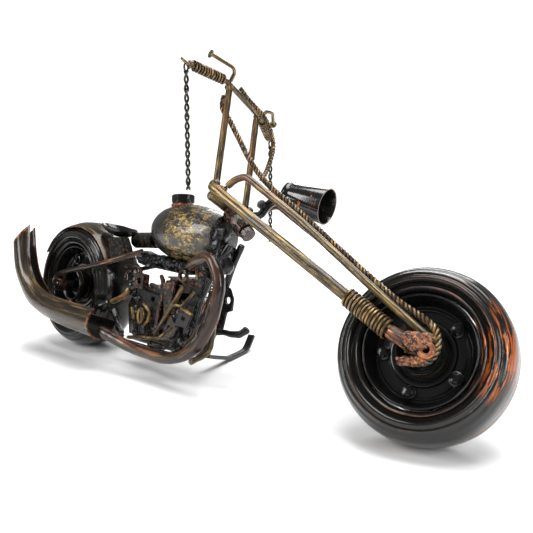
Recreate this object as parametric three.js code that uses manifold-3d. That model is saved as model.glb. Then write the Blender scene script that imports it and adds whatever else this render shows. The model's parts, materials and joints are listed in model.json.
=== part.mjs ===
// Chopper motorcycle sculpture, welded by hand from rods, nuts, springs, nails and half pipes.
// Millimetres. +X forward, +Y to the rider's left, +Z up. The floor is z = 0.
//
// Everything is drawn on an upright machine, straight ahead, with the rear axle above the origin.
// Three nested groups then park it: "steered" turns the front end about the raked steering axis,
// "leaned" tips the machine to its left, onto its stand, and "parked" sets it on the floor.
import * as THREE from 'three';
import { mergeVertices } from 'three/addons/utils/BufferGeometryUtils.js';
import Module from 'manifold-3d';

const wasm = await Module();
wasm.setup();

// ---------------------------------------------------------------- driving dimensions
const GAP = 0.3;                 // clearance between two pieces that touch on the real object
const WHEEL_RADIUS = 40;
const TYRE_HALF_WIDTH = 16.6;
const LIP_RADIUS = 26;           // where the tyre meets the wheel dish
const LIP_OFFSET = 13.4;
const HUB_RADIUS = 10.6;
const HUB_HALF_LENGTH = 15;
const AXLE_RADIUS = 2.7;
const AXLE_HALF_LENGTH = 26;

const LEAN = THREE.MathUtils.degToRad(8.4);
const STEER = THREE.MathUtils.degToRad(22.4);
const RAKE = THREE.MathUtils.degToRad(53.6);
const HEAD = new THREE.Vector3(133.7, 0, 93.3);          // a point on the steering axis
const STEERING_AXIS = new THREE.Vector3(-Math.sin(RAKE), 0, Math.cos(RAKE));
const REAR_AXLE = new THREE.Vector3(0, 0, 41);
const FRONT_AXLE = new THREE.Vector3(251.1, 0, 42.9);

const LEG_SPREAD = 21;           // fork legs from the middle plane
const LEG_RADIUS = 2.9;
const ROD_RADIUS = 1.9;
const RISER_SPREAD = 17;
const BAR_RADIUS = 1.6;
const BAR_HEIGHT = 164.8;
const GRIP_LENGTH = 25;
const CHAIN_LENGTH = 62;
const FENDER_RADIUS = 40.6;      // at its edges: the crown is higher
const MUFFLER_RADIUS = 10.4;     // at its mouth

const V = (x, y, z) => new THREE.Vector3(x, y, z);
const SIDES = [['right', -1], ['left', 1]];

// ---------------------------------------------------------------- materials
const FINISHES = {
  black: { color: 0x15161a, roughness: 0.25, metalness: 0.5 },
  gold: { color: 0x9a7f4c, roughness: 0.38, metalness: 0.8 },
  bronze: { color: 0x6e5a41, roughness: 0.4, metalness: 0.75 },
  copper: { color: 0x8d5a43, roughness: 0.42, metalness: 0.75 },
};

function add(group, name, geometry, finish) {
  const mesh = new THREE.Mesh(geometry, new THREE.MeshStandardMaterial(FINISHES[finish]));
  mesh.name = name;
  group.add(mesh);
  return mesh;
}

// ---------------------------------------------------------------- shape helpers
// A path of straight runs through the points, with each corner rounded off.
function bentPath(points, bend = 5) {
  const path = new THREE.CurvePath();
  let from = points[0];
  for (let i = 1; i < points.length - 1; i += 1) {
    const corner = points[i];
    const before = corner.clone().sub(points[i - 1]);
    const after = points[i + 1].clone().sub(corner);
    const reach = Math.min(bend, before.length() * 0.45, after.length() * 0.45);
    const start = corner.clone().addScaledVector(before.normalize(), -reach);
    const end = corner.clone().addScaledVector(after.normalize(), reach);
    path.add(new THREE.LineCurve3(from, start));
    path.add(new THREE.QuadraticBezierCurve3(start, corner, end));
    from = end;
  }
  path.add(new THREE.LineCurve3(from, points.at(-1)));
  return path;
}

function circleShape(radius, sides, x = 0, y = 0) {
  const points = [];
  for (let i = 0; i < sides; i += 1) {
    const a = (i * 2 * Math.PI) / sides;
    points.push(new THREE.Vector2(x + radius * Math.cos(a), y + radius * Math.sin(a)));
  }
  return new THREE.Shape(points);
}

function ringShape(outer, inner, sides) {
  const shape = circleShape(outer, sides);
  shape.holes.push(circleShape(inner, Math.max(sides, 12)));
  return shape;
}

function sweep(shape, path, steps) {
  return new THREE.ExtrudeGeometry(shape, { extrudePath: path, steps });
}

function rod(points, radius, { bend = 5, sides = 8, steps = 16 } = {}) {
  const straight = points.length === 2;
  return sweep(circleShape(radius, sides), bentPath(points, bend), straight ? 1 : steps);
}

// A smooth bar or wire through the points.
function wire(points, radius, { sides = 8, steps = 30 } = {}) {
  return sweep(circleShape(radius, sides), new THREE.CatmullRomCurve3(points), steps);
}

// A turned shape about the Y axis: the profile is a closed loop of (radius, y) pairs.
function turnedAboutY(profile, segments) {
  const loop = [...profile, profile[0]].map(([radius, y]) => new THREE.Vector2(radius, y));
  return new THREE.LatheGeometry(loop, segments);
}

// A turned piece laid along the line from one point to another.
function turnedAlong(from, to, profile, segments) {
  const geometry = turnedAboutY(profile, segments);
  const direction = to.clone().sub(from).normalize();
  const turn = new THREE.Quaternion().setFromUnitVectors(V(0, 1, 0), direction);
  geometry.applyQuaternion(turn);
  geometry.translate(from.x, from.y, from.z);
  return geometry;
}

// A coil seen as one sleeve: a bore, and an outside that swells once for every turn of wire.
function coilSleeve(from, to, bore, outer, turns, segments = 12) {
  const length = from.distanceTo(to);
  const profile = [[bore, 0]];
  for (let i = 0; i < turns; i += 1) {
    profile.push([outer - 0.5, (i * length) / turns], [outer, ((i + 0.5) * length) / turns]);
  }
  profile.push([outer - 0.5, length], [bore, length]);
  return turnedAlong(from, to, profile, segments);
}

// A flat plate cut from sheet: the outline is in X and Z, and its thickness runs along Y.
function plate(outline, yLow, yHigh, holes = []) {
  const shape = new THREE.Shape(outline.map(([x, z]) => new THREE.Vector2(x, z)));
  for (const [x, z, radius] of holes) shape.holes.push(circleShape(radius, 10, x, z));
  const options = { depth: yHigh - yLow, bevelEnabled: false };
  const geometry = new THREE.ExtrudeGeometry(shape, options);
  geometry.rotateX(Math.PI / 2);
  geometry.translate(0, yHigh, 0);
  return geometry;
}

function box(low, high) {
  const size = high.clone().sub(low);
  const middle = low.clone().add(high).multiplyScalar(0.5);
  return new THREE.BoxGeometry(size.x, size.y, size.z).translate(middle.x, middle.y, middle.z);
}

// A nut or washer, with or without a bore, laid along the line from one point to another. Its radius
// is measured to a corner.
function nut(from, to, radius, bore, corners = 6) {
  const shape = bore ? ringShape(radius, bore, corners) : circleShape(radius, corners);
  return sweep(shape, new THREE.LineCurve3(from, to), 1);
}

function solid(geometry) {
  const bare = geometry.clone();
  bare.deleteAttribute('normal');
  bare.deleteAttribute('uv');
  const merged = mergeVertices(bare, 1e-4);
  return new wasm.Manifold(new wasm.Mesh({
    numProp: 3,
    vertProperties: new Float32Array(merged.attributes.position.array),
    triVerts: new Uint32Array(merged.index.array),
  }));
}

function fromSolid(manifold) {
  const mesh = manifold.getMesh();
  const geometry = new THREE.BufferGeometry();
  geometry.setAttribute('position', new THREE.BufferAttribute(mesh.vertProperties, 3));
  geometry.setIndex(new THREE.BufferAttribute(mesh.triVerts, 1));
  geometry.computeVertexNormals();
  return geometry;
}

function joined(...geometries) {
  return fromSolid(geometries.map(solid).reduce((whole, part) => whole.add(part)));
}

// Removes everything beyond a plane: the plane passes through the point and faces the removed side.
function sliced(geometry, point, facing) {
  const reach = 90;
  const removed = new THREE.BoxGeometry(reach, reach, reach).translate(0, 0, -reach / 2);
  const turn = new THREE.Quaternion().setFromUnitVectors(V(0, 0, -1), facing.clone().normalize());
  removed.applyQuaternion(turn);
  removed.translate(point.x, point.y, point.z);
  return fromSolid(solid(geometry).subtract(solid(removed)));
}

// ---------------------------------------------------------------- groups
const parked = new THREE.Group();
const leaned = new THREE.Group();
leaned.rotation.x = -LEAN;
parked.add(leaned);
const frame = leaned;

const steered = new THREE.Group();
steered.position.copy(HEAD);
steered.quaternion.setFromAxisAngle(STEERING_AXIS, STEER);
leaned.add(steered);
const front = new THREE.Group();
front.position.copy(HEAD).negate();
steered.add(front);
parked.updateMatrixWorld(true);

// ---------------------------------------------------------------- wheels
// Stepped rings run from the lip, over the bulging wall, to a slightly crowned tread.
const WALL = [
  [LIP_RADIUS, LIP_OFFSET], [28, 15.2], [29.4, 14], [30.6, 15.9], [32.6, TYRE_HALF_WIDTH],
  [34.4, 15.4], [36.8, 12.8], [38.8, 9.2], [WHEEL_RADIUS, 5],
];

function tyreGeometry() {
  const farWall = WALL.map(([radius, y]) => [radius, -y]).reverse();
  return turnedAboutY([...WALL, ...farWall].reverse(), 36);
}

function wheelDish() {
  const outer = LIP_RADIUS - GAP;
  const bore = HUB_RADIUS + GAP;
  const face = [
    [bore, 4.6], [12.8, 5.8], [14.4, 5.8], [14.8, 4.6], [21.6, 4.6], [22.6, 6.4], [24, 12.8],
    [outer, LIP_OFFSET],
  ];
  const farFace = face.map(([radius, y]) => [radius, -y]).reverse();
  const bosses = [];
  for (let i = 0; i < 5; i += 1) {
    const angle = ((i + 0.35) * 2 * Math.PI) / 5;
    const boss = new THREE.CylinderGeometry(2.9, 3.1, 16, 8);
    bosses.push(boss.translate(18 * Math.cos(angle), 0, 18 * Math.sin(angle)));
  }
  return joined(turnedAboutY([...face, ...farFace].reverse(), 32), ...bosses);
}

function hubGeometry() {
  const end = HUB_HALF_LENGTH;
  const bore = AXLE_RADIUS + GAP;
  const half = [
    [bore, 8], [8.8, 8], [9, end], [HUB_RADIUS, end],
  ];
  const far = half.map(([radius, y]) => [radius, -y]).reverse();
  return turnedAboutY([...half, ...far].reverse(), 20);
}

function buildWheel(group, prefix, centre) {
  const pieces = [['tyre', tyreGeometry()], ['rim', wheelDish()], ['hub', hubGeometry()]];
  for (const [piece, geometry] of pieces) {
    add(group, `${prefix}_${piece}`, geometry, 'black').position.copy(centre);
  }
}

function buildAxle(group, prefix, centre, nutStart) {
  const reach = V(0, AXLE_HALF_LENGTH, 0);
  const ends = [centre.clone().sub(reach), centre.clone().add(reach)];
  add(group, `${prefix}_axle`, rod(ends, AXLE_RADIUS, { sides: 12 }), 'black');
  for (const [side, sign] of SIDES) {
    const inner = centre.clone().add(V(0, sign * nutStart, 0));
    const outer = centre.clone().add(V(0, sign * (AXLE_HALF_LENGTH - 0.4), 0));
    add(group, `${prefix}_axle_nut_${side}`, nut(inner, outer, 4.6, AXLE_RADIUS + GAP), 'copper');
  }
}

buildWheel(frame, 'rear', REAR_AXLE);
buildAxle(frame, 'rear', REAR_AXLE, 20.5);
buildWheel(front, 'front', FRONT_AXLE);
buildAxle(front, 'front', FRONT_AXLE, 24.2);

// ---------------------------------------------------------------- fork
const LEG_TOP = V(126.6, 0, 103.1);
const SPRING_FOOT = V(239, 0, 47.2);
const SPRING_LENGTH = 26;

function at(point, y) {
  return V(point.x, y, point.z);
}

function buildForkSide(side, sign) {
  const y = sign * LEG_SPREAD;
  const legEnd = V(FRONT_AXLE.x - AXLE_RADIUS - GAP - 0.5, y, 43.8);
  const leg = [at(LEG_TOP, y), at(SPRING_FOOT, y), legEnd];
  add(front, `fork_leg_${side}`, rod(leg, LEG_RADIUS, { bend: 2, sides: 10, steps: 14 }), 'gold');

  const along = at(SPRING_FOOT, y).sub(at(LEG_TOP, y)).normalize();
  const foot = at(SPRING_FOOT, y).addScaledVector(along, -2.2);
  const top = foot.clone().addScaledVector(along, -SPRING_LENGTH);
  add(front, `fork_spring_${side}`, coilSleeve(top, foot, LEG_RADIUS + GAP + 0.1, 4.5, 8, 10), 'gold');

  const nearY = sign * 20;
  const wheelY = sign * 22;
  const thinRod = [
    V(134.8, nearY, 104.4), V(138, nearY, 108.6), V(144, nearY, 111.4),
    V(181.4, sign * 20.6, 91.8), V(225, wheelY, 65.6), V(255.8, wheelY, 47.9),
  ];
  add(front, `fork_rod_${side}`, rod(thinRod, ROD_RADIUS, { bend: 7, steps: 24, sides: 6 }), 'gold');

  const riserFoot = V(125.4, sign * RISER_SPREAD, 107.2);
  const riserHead = V(114.6, sign * RISER_SPREAD, BAR_HEIGHT - BAR_RADIUS - GAP);
  add(front, `riser_${side}`, rod([riserFoot, riserHead], ROD_RADIUS), 'gold');
}

for (const [side, sign] of SIDES) buildForkSide(side, sign);

function alongHead(distance) {
  return HEAD.clone().addScaledVector(STEERING_AXIS, distance);
}

// The yoke is the bar that ties the two legs together above the steering head.
const YOKE_DISTANCE = 11;
const yokeHalf = V(0, LEG_SPREAD - LEG_RADIUS - GAP, 0);
const yokeCentre = alongHead(YOKE_DISTANCE);
const yokeEnds = [yokeCentre.clone().sub(yokeHalf), yokeCentre.clone().add(yokeHalf)];
add(front, 'fork_yoke', rod(yokeEnds, LEG_RADIUS, { sides: 12 }), 'gold');

const STEM_RADIUS = 2.1;
const stemTop = alongHead(YOKE_DISTANCE - LEG_RADIUS - GAP);
const stem = rod([alongHead(-11), stemTop], STEM_RADIUS, { sides: 10 });
const stemHead = nut(alongHead(-13), alongHead(-9.6), 4.4, 0);
add(front, 'steering_stem', joined(stem, stemHead), 'copper');

// ---------------------------------------------------------------- handlebar
const GRIP_ROOT = V(115, 22, BAR_HEIGHT);
// Bent by hand: the right grip droops and the left one is level.
const GRIP_DROOP = { '-1': -0.2, 1: 0 };

function mirrored(point, sign) {
  return V(point.x, sign * point.y, point.z);
}

function gripPoint(distance, sign) {
  const direction = V(-0.26, 0.96, GRIP_DROOP[sign]).normalize();
  return mirrored(GRIP_ROOT.clone().addScaledVector(direction, distance), sign);
}

// The bar ends in a welded ring at each side, which the chains hang from.
const RING_RADIUS = 2.9;
const RING_WIRE = 0.7;

function ringCentre(sign) {
  return gripPoint(GRIP_LENGTH + 1.4 + RING_RADIUS, sign);
}

function ringGeometry(sign) {
  const ring = new THREE.TorusGeometry(RING_RADIUS, RING_WIRE, 5, 10);
  const centre = ringCentre(sign);
  return ring.rotateY(0.5).translate(centre.x, centre.y, centre.z);
}

function buildHandlebar() {
  const end = GRIP_LENGTH + 1.6;
  const points = [gripPoint(end, -1), gripPoint(0, -1), gripPoint(0, 1), gripPoint(end, 1)];
  const bar = rod(points, BAR_RADIUS, { bend: 3, steps: 18, sides: 6 });
  add(front, 'handlebar', joined(bar, ringGeometry(-1), ringGeometry(1)), 'gold');
}

buildHandlebar();

function buildControls(side, sign) {
  const from = gripPoint(2.5, sign);
  const to = gripPoint(GRIP_LENGTH, sign);
  add(front, `grip_${side}`, coilSleeve(from, to, BAR_RADIUS + GAP + 0.1, 3, 7, 8), 'gold');

  // A nail bent round as the lever: its head is the ball at the free end.
  const lever = [
    V(117.6, sign * 20.6, 169.6), V(119.4, sign * 25, 171), V(113, sign * 39, 170.6),
  ];
  const shank = rod(lever, 1, { bend: 3, sides: 6, steps: 12 });
  const outwards = lever[2].clone().sub(lever[1]).normalize();
  const headFrom = lever[2].clone().addScaledVector(outwards, -0.4);
  const headTo = lever[2].clone().addScaledVector(outwards, 1);
  add(front, `lever_${side}`, joined(shank, nut(headFrom, headTo, 2.3, 0, 10)), 'gold');
}

for (const [side, sign] of SIDES) buildControls(side, sign);

// ---------------------------------------------------------------- brake cables
const LONG_CABLE = [
  V(109.8, -13.4, 160.6), V(111.2, -13, 153), V(118, -12.4, 146), V(128, -12.2, 135),
  V(138.4, -12.2, 123.7), V(149, -13, 114.6), V(159, -14.2, 107.8), V(178, -15.4, 97),
  V(204.8, -17, 81), V(226, -18.8, 68.4), V(240, -19.6, 60.6), V(250, -21, 56.4), V(258.6, -22.4, 51.4),
  V(261.2, -22.8, 44), V(258.6, -23, 37.6), V(252, -23, 35.4),
];
add(front, 'brake_cable_long', wire(LONG_CABLE, 1.3, { steps: 46, sides: 6 }), 'copper');

const SHORT_CABLE = [
  V(118.8, -13.4, 165.6), V(122.6, -6, 161.6), V(129, 3, 157), V(134.6, 7, 148.4),
  V(138, 7.8, 139), V(139, 6, 126), V(140.6, 1, 118),
];
add(front, 'brake_cable_short', wire(SHORT_CABLE, 1.2, { steps: 22, sides: 6 }), 'copper');

// ---------------------------------------------------------------- headlamp
function buildHeadlamp() {
  const back = V(159, 0, 110.4);
  const direction = V(25, 0, -3.3).normalize();
  const profile = [
    [0, 0], [5.8, 0], [6.8, 1.6], [7.2, 8], [9.6, 25.2], [8.4, 25.2], [6, 8.6], [5.4, 2], [0, 2],
  ];
  const loop = profile.map(([radius, y]) => new THREE.Vector2(radius, y));
  const cup = new THREE.LatheGeometry(loop, 18);
  cup.applyQuaternion(new THREE.Quaternion().setFromUnitVectors(V(0, 1, 0), direction));
  cup.translate(back.x, back.y, back.z);
  add(front, 'headlamp_cup', cup, 'black');
  const bracket = [
    V(142.4, 0, 96.8), V(146.8, 0, 97.4), V(151.4, 0, 106.8), V(158, 0, 106.8),
  ];
  add(front, 'headlamp_bracket', rod(bracket, 2.3, { bend: 4, steps: 12 }), 'black');
}

buildHeadlamp();

// ---------------------------------------------------------------- steering head and frame tubes
add(frame, 'steering_head', nut(alongHead(-9), alongHead(7), 5.2, STEM_RADIUS + GAP), 'copper');

const TUBE_SPREAD = 8.5;
function buildFrameSide(side, sign) {
  const tube = [
    V(135, sign * 4.4, 80), V(127.4, sign * 6.4, 68), V(119, sign * TUBE_SPREAD, 47),
    V(115, sign * TUBE_SPREAD, 24), V(102, sign * TUBE_SPREAD, 12.4), V(42, sign * TUBE_SPREAD, 12.4),
  ];
  add(frame, `down_tube_${side}`, rod(tube, 2.1, { bend: 8, steps: 22, sides: 6 }), 'black');

  const strut = [
    V(68, sign * 10.4, 69.8), V(52, sign * 21.8, 61.4), V(1, sign * 22.4, 48.6),
    V(-5.4, sign * 22.6, 46), V(-4.6, sign * 22.8, 43.6),
  ];
  add(frame, `rear_strut_${side}`, rod(strut, 1.6, { bend: 4, steps: 22, sides: 6 }), 'bronze');
}

for (const [side, sign] of SIDES) buildFrameSide(side, sign);

const backbone = turnedAlong(V(47, 0, 75), V(66.5, 0, 76.5),
  [[4.9, 0], [4.9, 19], [4, 19], [4, 0]], 16);
add(frame, 'backbone_tube', backbone, 'black');

const spine = [
  [58, 69.4], [70, 66.6], [120, 66], [126.4, 72], [128.4, 79], [132, 78], [128, 67], [121.5, 61.6],
  [100, 59.4], [62, 60.4],
];
add(frame, 'frame_spine', plate(spine, -3.6, 3.6), 'black');

// ---------------------------------------------------------------- fuel tank
function buildTank() {
  const rear = V(66.6, 0, 83.2);
  const length = 58.4;
  const profile = [new THREE.Vector2(0, 0)];
  const steps = 10;
  for (let i = 1; i <= steps; i += 1) {
    const along = i / steps;
    const swell = Math.pow(Math.sin(Math.PI * Math.pow(along, 0.72) * 0.8), 0.62);
    profile.push(new THREE.Vector2(16.6 * swell, length * along));
  }
  profile.push(new THREE.Vector2(0, length));
  const tank = new THREE.LatheGeometry(profile, 20);
  tank.rotateZ(-Math.PI / 2);
  tank.scale(1, 0.94, 1);
  tank.translate(rear.x, 0, rear.z);
  return tank;
}

add(frame, 'fuel_tank', buildTank(), 'gold');

const CAP = V(88, 0, 99.7);
const capNut = nut(CAP, V(CAP.x - 0.6, 0, CAP.z + 5.6), 5.4, 0);
add(frame, 'fuel_cap', capNut, 'black');

// ---------------------------------------------------------------- seat
const SEAT = V(35, -5.4, 78.5);
function buildSeat() {
  const profile = [
    [0, 0], [6, 0.6], [9.4, 3.2], [10.6, 4.6], [9.9, 5.2], [8.4, 4], [5.2, 1.9], [0, 1.3],
  ];
  const pan = new THREE.LatheGeometry(profile.map(([r, y]) => new THREE.Vector2(r, y)), 20);
  pan.rotateX(Math.PI / 2);
  pan.scale(1, 0.8, 1);
  pan.rotateY(-0.06);
  pan.translate(SEAT.x, SEAT.y, SEAT.z - 2);
  add(frame, 'seat_pan', pan, 'black');
  const bracket = [[36.4, 75.2], [50.4, 76.4], [54.4, 71], [57, 63.4], [41, 61.6]];
  add(frame, 'seat_bracket', plate(bracket, -14.4, -8.4), 'black');
}

buildSeat();

// ---------------------------------------------------------------- rear fender
// A crowned strip bent round the top of the rear tyre. Its front end is cut at a slant, so that the
// right edge reaches down to the strut and the left edge stops under the seat.
function buildFender() {
  const shape = new THREE.Shape();
  const rightEdge = 14.5;
  const leftEdge = -12.5;
  const crown = 3.3;
  const thick = 0.9;
  const outside = [];
  const count = 7;
  for (let i = 0; i <= count; i += 1) {
    const across = rightEdge + ((leftEdge - rightEdge) * i) / count;
    outside.push(new THREE.Vector2(across, crown * (Math.abs(across / rightEdge) ** 2.2 - 1)));
  }
  const inside = outside.map(({ x, y }) => new THREE.Vector2(x, y + thick)).reverse();
  shape.setFromPoints([...outside, ...inside]);
  const first = THREE.MathUtils.degToRad(26);
  const last = THREE.MathUtils.degToRad(150);
  const arc = [];
  for (let i = 0; i <= 14; i += 1) {
    const a = last + ((first - last) * i) / 14;
    arc.push(V(1.1 + FENDER_RADIUS * Math.cos(a), 0, 38.9 + FENDER_RADIUS * Math.sin(a)));
  }
  const strip = sweep(shape, new THREE.CatmullRomCurve3(arc), 20);
  return sliced(strip, V(18.3, -0.8, 69), V(0.46, 0.844, -0.277));
}

add(frame, 'rear_fender', buildFender(), 'bronze');

// ---------------------------------------------------------------- engine
function buildEngine() {
  const caseOutline = [[60, 19], [98, 17.6], [109, 26], [110.6, 44], [99, 49.4], [64, 49.4], [57, 36]];
  add(frame, 'crankcase', plate(caseOutline, -10, 10), 'black');

  const ribs = [];
  for (let i = 0; i < 4; i += 1) {
    const under = 50.4 + i * 2;
    ribs.push(box(V(94, -12.4, under), V(109, 12.4, under + 1)));
  }
  const barrel = box(V(95.4, -11, 49.7), V(107.6, 11, 58));
  add(frame, 'cylinder_block', joined(barrel, ...ribs), 'black');

  const side = [[67, 47.6], [92, 45.6], [97, 38], [95, 30], [88, 29], [84, 33], [68, 34]];
  add(frame, 'engine_side_plate', plate(side, -12, -10.3, [[83, 43, 1.5]]), 'black');

  const block = nut(V(72.6, -17, 51.6), V(72.6, -12.3, 51.6), 6, 1.8, 4);
  add(frame, 'engine_nut_block', block, 'copper');

  const strap = [
    [89, 57.6], [91.4, 58.6], [94, 55.6], [94.6, 48], [92.8, 38], [91.6, 27.4], [88.6, 27], [89.4, 38],
    [91.4, 48], [91, 54],
  ];
  add(frame, 'engine_strap', plate(strap, -14, -12.3 - GAP), 'copper');

  const pushRod = rod([V(113.8, -16.8, 54.6), V(90, -16.8, 24.3)], 1.3, { sides: 8 });
  add(frame, 'push_rod', pushRod, 'gold');

  const eyelet = nut(V(110, -14, 60.8), V(110, -11.6, 60.8), 3.6, 1.8, 16);
  add(frame, 'engine_eyelet', eyelet, 'copper');

  const timing = nut(V(78.6, -15.6, 24), V(78.6, -13, 24), 6.6, 0, 18);
  add(frame, 'timing_disc', timing, 'gold');
}

buildEngine();

// ---------------------------------------------------------------- exhaust
const headerPath = [
  V(117, -15, 66), V(128, -19, 70.4), V(138, -20.4, 73), V(147, -21, 62), V(145, -21, 42),
  V(133, -21, 22), V(112, -21, 13.6), V(78, -22.4, 14.4), V(56, -28, 20.6),
];
add(frame, 'header_pipe', rod(headerPath, 3.3, { bend: 10, sides: 10, steps: 30 }), 'copper');

// The muffler is half a pipe, bent up at the back. Its open side faces up and forward, and its top is
// cut off at a slant.
function halfPipeOutline(radius, thick, openTowards) {
  const span = THREE.MathUtils.degToRad(240);
  const start = openTowards + Math.PI - span / 2;
  const unit = [];
  for (let i = 0; i <= 10; i += 1) {
    const a = start + (span * i) / 10;
    unit.push(new THREE.Vector2(Math.cos(a), Math.sin(a)));
  }
  const outside = unit.map((p) => p.clone().multiplyScalar(radius));
  const inside = unit.map((p) => p.clone().multiplyScalar(radius - thick)).reverse();
  return [...outside, ...inside];
}

// Sweeps an outline along a path in the X-Z plane while it shrinks to the given share of its size and,
// over the last part of the path, turns by the given angle. The outline's first axis points to the
// right of the machine, and its second lies in the plane.
function taperedSweep(outline, path, steps, endScale, twist) {
  const straightShare = 0.4;
  const rings = [];
  for (let i = 0; i <= steps; i += 1) {
    const t = i / steps;
    const tangent = path.getTangentAt(t).setY(0).normalize();
    const lift = new THREE.Vector3().crossVectors(tangent, V(0, -1, 0));
    const scale = 1 + (endScale - 1) * Math.sqrt(t);
    const turn = (twist * Math.max(0, t - straightShare)) / (1 - straightShare);
    const centre = path.getPointAt(t);
    rings.push(outline.map((corner) => {
      const p = corner.clone().rotateAround(new THREE.Vector2(0, 0), turn).multiplyScalar(scale);
      return centre.clone().add(V(0, -p.x, 0)).addScaledVector(lift, p.y);
    }));
  }
  const n = outline.length;
  const index = [];
  for (let i = 0; i < steps; i += 1) {
    for (let j = 0; j < n; j += 1) {
      const a = i * n + j;
      const b = i * n + ((j + 1) % n);
      index.push(a, b, a + n, b, b + n, a + n);
    }
  }
  for (const [p, q, r] of THREE.ShapeUtils.triangulateShape(outline, [])) {
    index.push(p, r, q, steps * n + p, steps * n + q, steps * n + r);
  }
  const geometry = new THREE.BufferGeometry().setFromPoints(rings.flat());
  geometry.setIndex(index);
  geometry.computeVertexNormals();
  return geometry;
}

function buildMuffler() {
  const path = new THREE.CatmullRomCurve3([
    V(57, -28, 25.4), V(30, -29.6, 26.6), V(8, -30.4, 28.6), V(-9, -31, 33.2), V(-21.6, -31.4, 43.6),
    V(-29, -31.6, 58), V(-34.4, -31.8, 84),
  ]);
  const towards = THREE.MathUtils.degToRad(117);
  const twist = THREE.MathUtils.degToRad(18);
  const pipe = taperedSweep(halfPipeOutline(MUFFLER_RADIUS, 1.3, towards), path, 18, 0.8, twist);
  return sliced(pipe, V(-28, -26, 80.4), V(-0.75, -0.6, 0.83));
}

add(frame, 'muffler', buildMuffler(), 'bronze');

const hookPath = [V(56, -20, 33), V(61, -20.6, 29), V(63, -20, 22), V(61, -15, 17.4)];
add(frame, 'muffler_hook', rod(hookPath, 1.5, { bend: 5, steps: 14 }), 'black');

// ---------------------------------------------------------------- foot controls and stand
const controlOutline = [
  [124.8, 56], [128.4, 55.4], [131.6, 50], [131.6, 43], [127.4, 41.6], [125.4, 31.6], [120.6, 31.6],
  [122.4, 42], [124.8, 46],
];
add(frame, 'control_plate', plate(controlOutline, 4.2, 6.4, [[128, 48.6, 2]]), 'black');

const pedalPath = [V(118, 5.4, 29), V(124, 9, 29.6), V(132, 12.6, 29), V(136, 14.4, 33.6)];
add(frame, 'foot_pedal', rod(pedalPath, 1.7, { bend: 4, steps: 14 }), 'bronze');

const pegPath = [V(138.4, -14.2, 45), V(137.4, -14.2, 22.4), V(136.4, -27, 17.6)];
add(frame, 'foot_peg', rod(pegPath, 1.7, { bend: 5, steps: 14 }), 'gold');

// ---------------------------------------------------------------- set down on the floor
const lowest = new THREE.Box3().setFromObject(leaned, true).min.z;
leaned.position.z = -lowest;
parked.updateMatrixWorld(true);

// The stand is a flat bar that runs out to the left and turns up at its end. Its middle lies flat on
// the floor, so its outline is drawn in the parked frame: distance out from its root, and height.
const STAND_ROOT = V(105, 16, 0);
const STAND_HEADING = THREE.MathUtils.degToRad(104);

function buildStand() {
  const outline = [
    [0, 10], [3, 7.4], [26, 0], [46, 0], [54, 6.6], [52.6, 8], [45, 2.4], [27, 2.4], [4, 10.4],
  ];
  const bar = plate(outline, -2.4, 2.4);
  bar.rotateZ(STAND_HEADING);
  return bar.translate(STAND_ROOT.x, STAND_ROOT.y, STAND_ROOT.z);
}

add(parked, 'stand_foot', buildStand(), 'black');

// Twisted-wire chains hang straight down from the rings on the bar ends, so they are set in the
// parked frame too. Each is one beaded strand.
function strand(top, length, links, thick, thin) {
  const profile = [[0, 0]];
  for (let i = 0; i < links; i += 1) {
    profile.push([thin, ((i + 0.02) * length) / links], [thick, ((i + 0.5) * length) / links]);
  }
  profile.push([thin, length], [0, length]);
  const points = profile.map(([radius, y]) => new THREE.Vector2(radius, y));
  const geometry = new THREE.LatheGeometry(points, 6);
  geometry.rotateX(-Math.PI / 2);
  return geometry.translate(top.x, top.y, top.z);
}

for (const [side, sign] of SIDES) {
  const top = front.localToWorld(ringCentre(sign));
  top.z -= RING_RADIUS + RING_WIRE + GAP;
  add(parked, `chain_${side}`, strand(top, CHAIN_LENGTH, 12, 1.5, 0.6), 'black');
}

// The origin is the middle of the bounding box's base.
const extent = new THREE.Box3().setFromObject(parked, true);
const middle = extent.getCenter(new THREE.Vector3());
parked.position.set(-middle.x, -middle.y, -extent.min.z);
parked.updateMatrixWorld(true);

export default parked;
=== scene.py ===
import json
import math

import bmesh
import bpy
from mathutils import Matrix, Vector, noise


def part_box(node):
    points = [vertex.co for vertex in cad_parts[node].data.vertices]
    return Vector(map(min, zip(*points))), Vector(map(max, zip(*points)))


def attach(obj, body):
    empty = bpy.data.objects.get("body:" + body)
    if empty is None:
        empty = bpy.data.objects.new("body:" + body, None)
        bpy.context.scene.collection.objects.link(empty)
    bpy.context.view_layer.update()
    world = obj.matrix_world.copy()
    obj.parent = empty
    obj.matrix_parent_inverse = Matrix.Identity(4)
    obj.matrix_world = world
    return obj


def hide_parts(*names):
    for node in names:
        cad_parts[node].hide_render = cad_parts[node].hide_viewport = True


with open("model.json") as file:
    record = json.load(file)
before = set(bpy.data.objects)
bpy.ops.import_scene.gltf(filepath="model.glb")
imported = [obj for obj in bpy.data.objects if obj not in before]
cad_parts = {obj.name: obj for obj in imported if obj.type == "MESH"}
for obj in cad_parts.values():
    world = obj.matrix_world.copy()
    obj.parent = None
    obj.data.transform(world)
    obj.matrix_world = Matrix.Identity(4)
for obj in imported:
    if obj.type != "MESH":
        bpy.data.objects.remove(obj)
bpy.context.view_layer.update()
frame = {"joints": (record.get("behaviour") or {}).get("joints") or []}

# A chopper welded from scrap: rods, nuts, springs, bent nails, twisted wire and half pipes.
# Shapes are drawn in millimetres on an upright machine, straight ahead, with its rear axle above
# the origin. LEANED stands that machine on its side stand, and TURNED also turns the fork.
MM = 0.001
STEER = math.radians(22.4)
REAR_AXLE_HEIGHT = 41.0
joints = {j["name"]: j for j in frame["joints"]}


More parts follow.
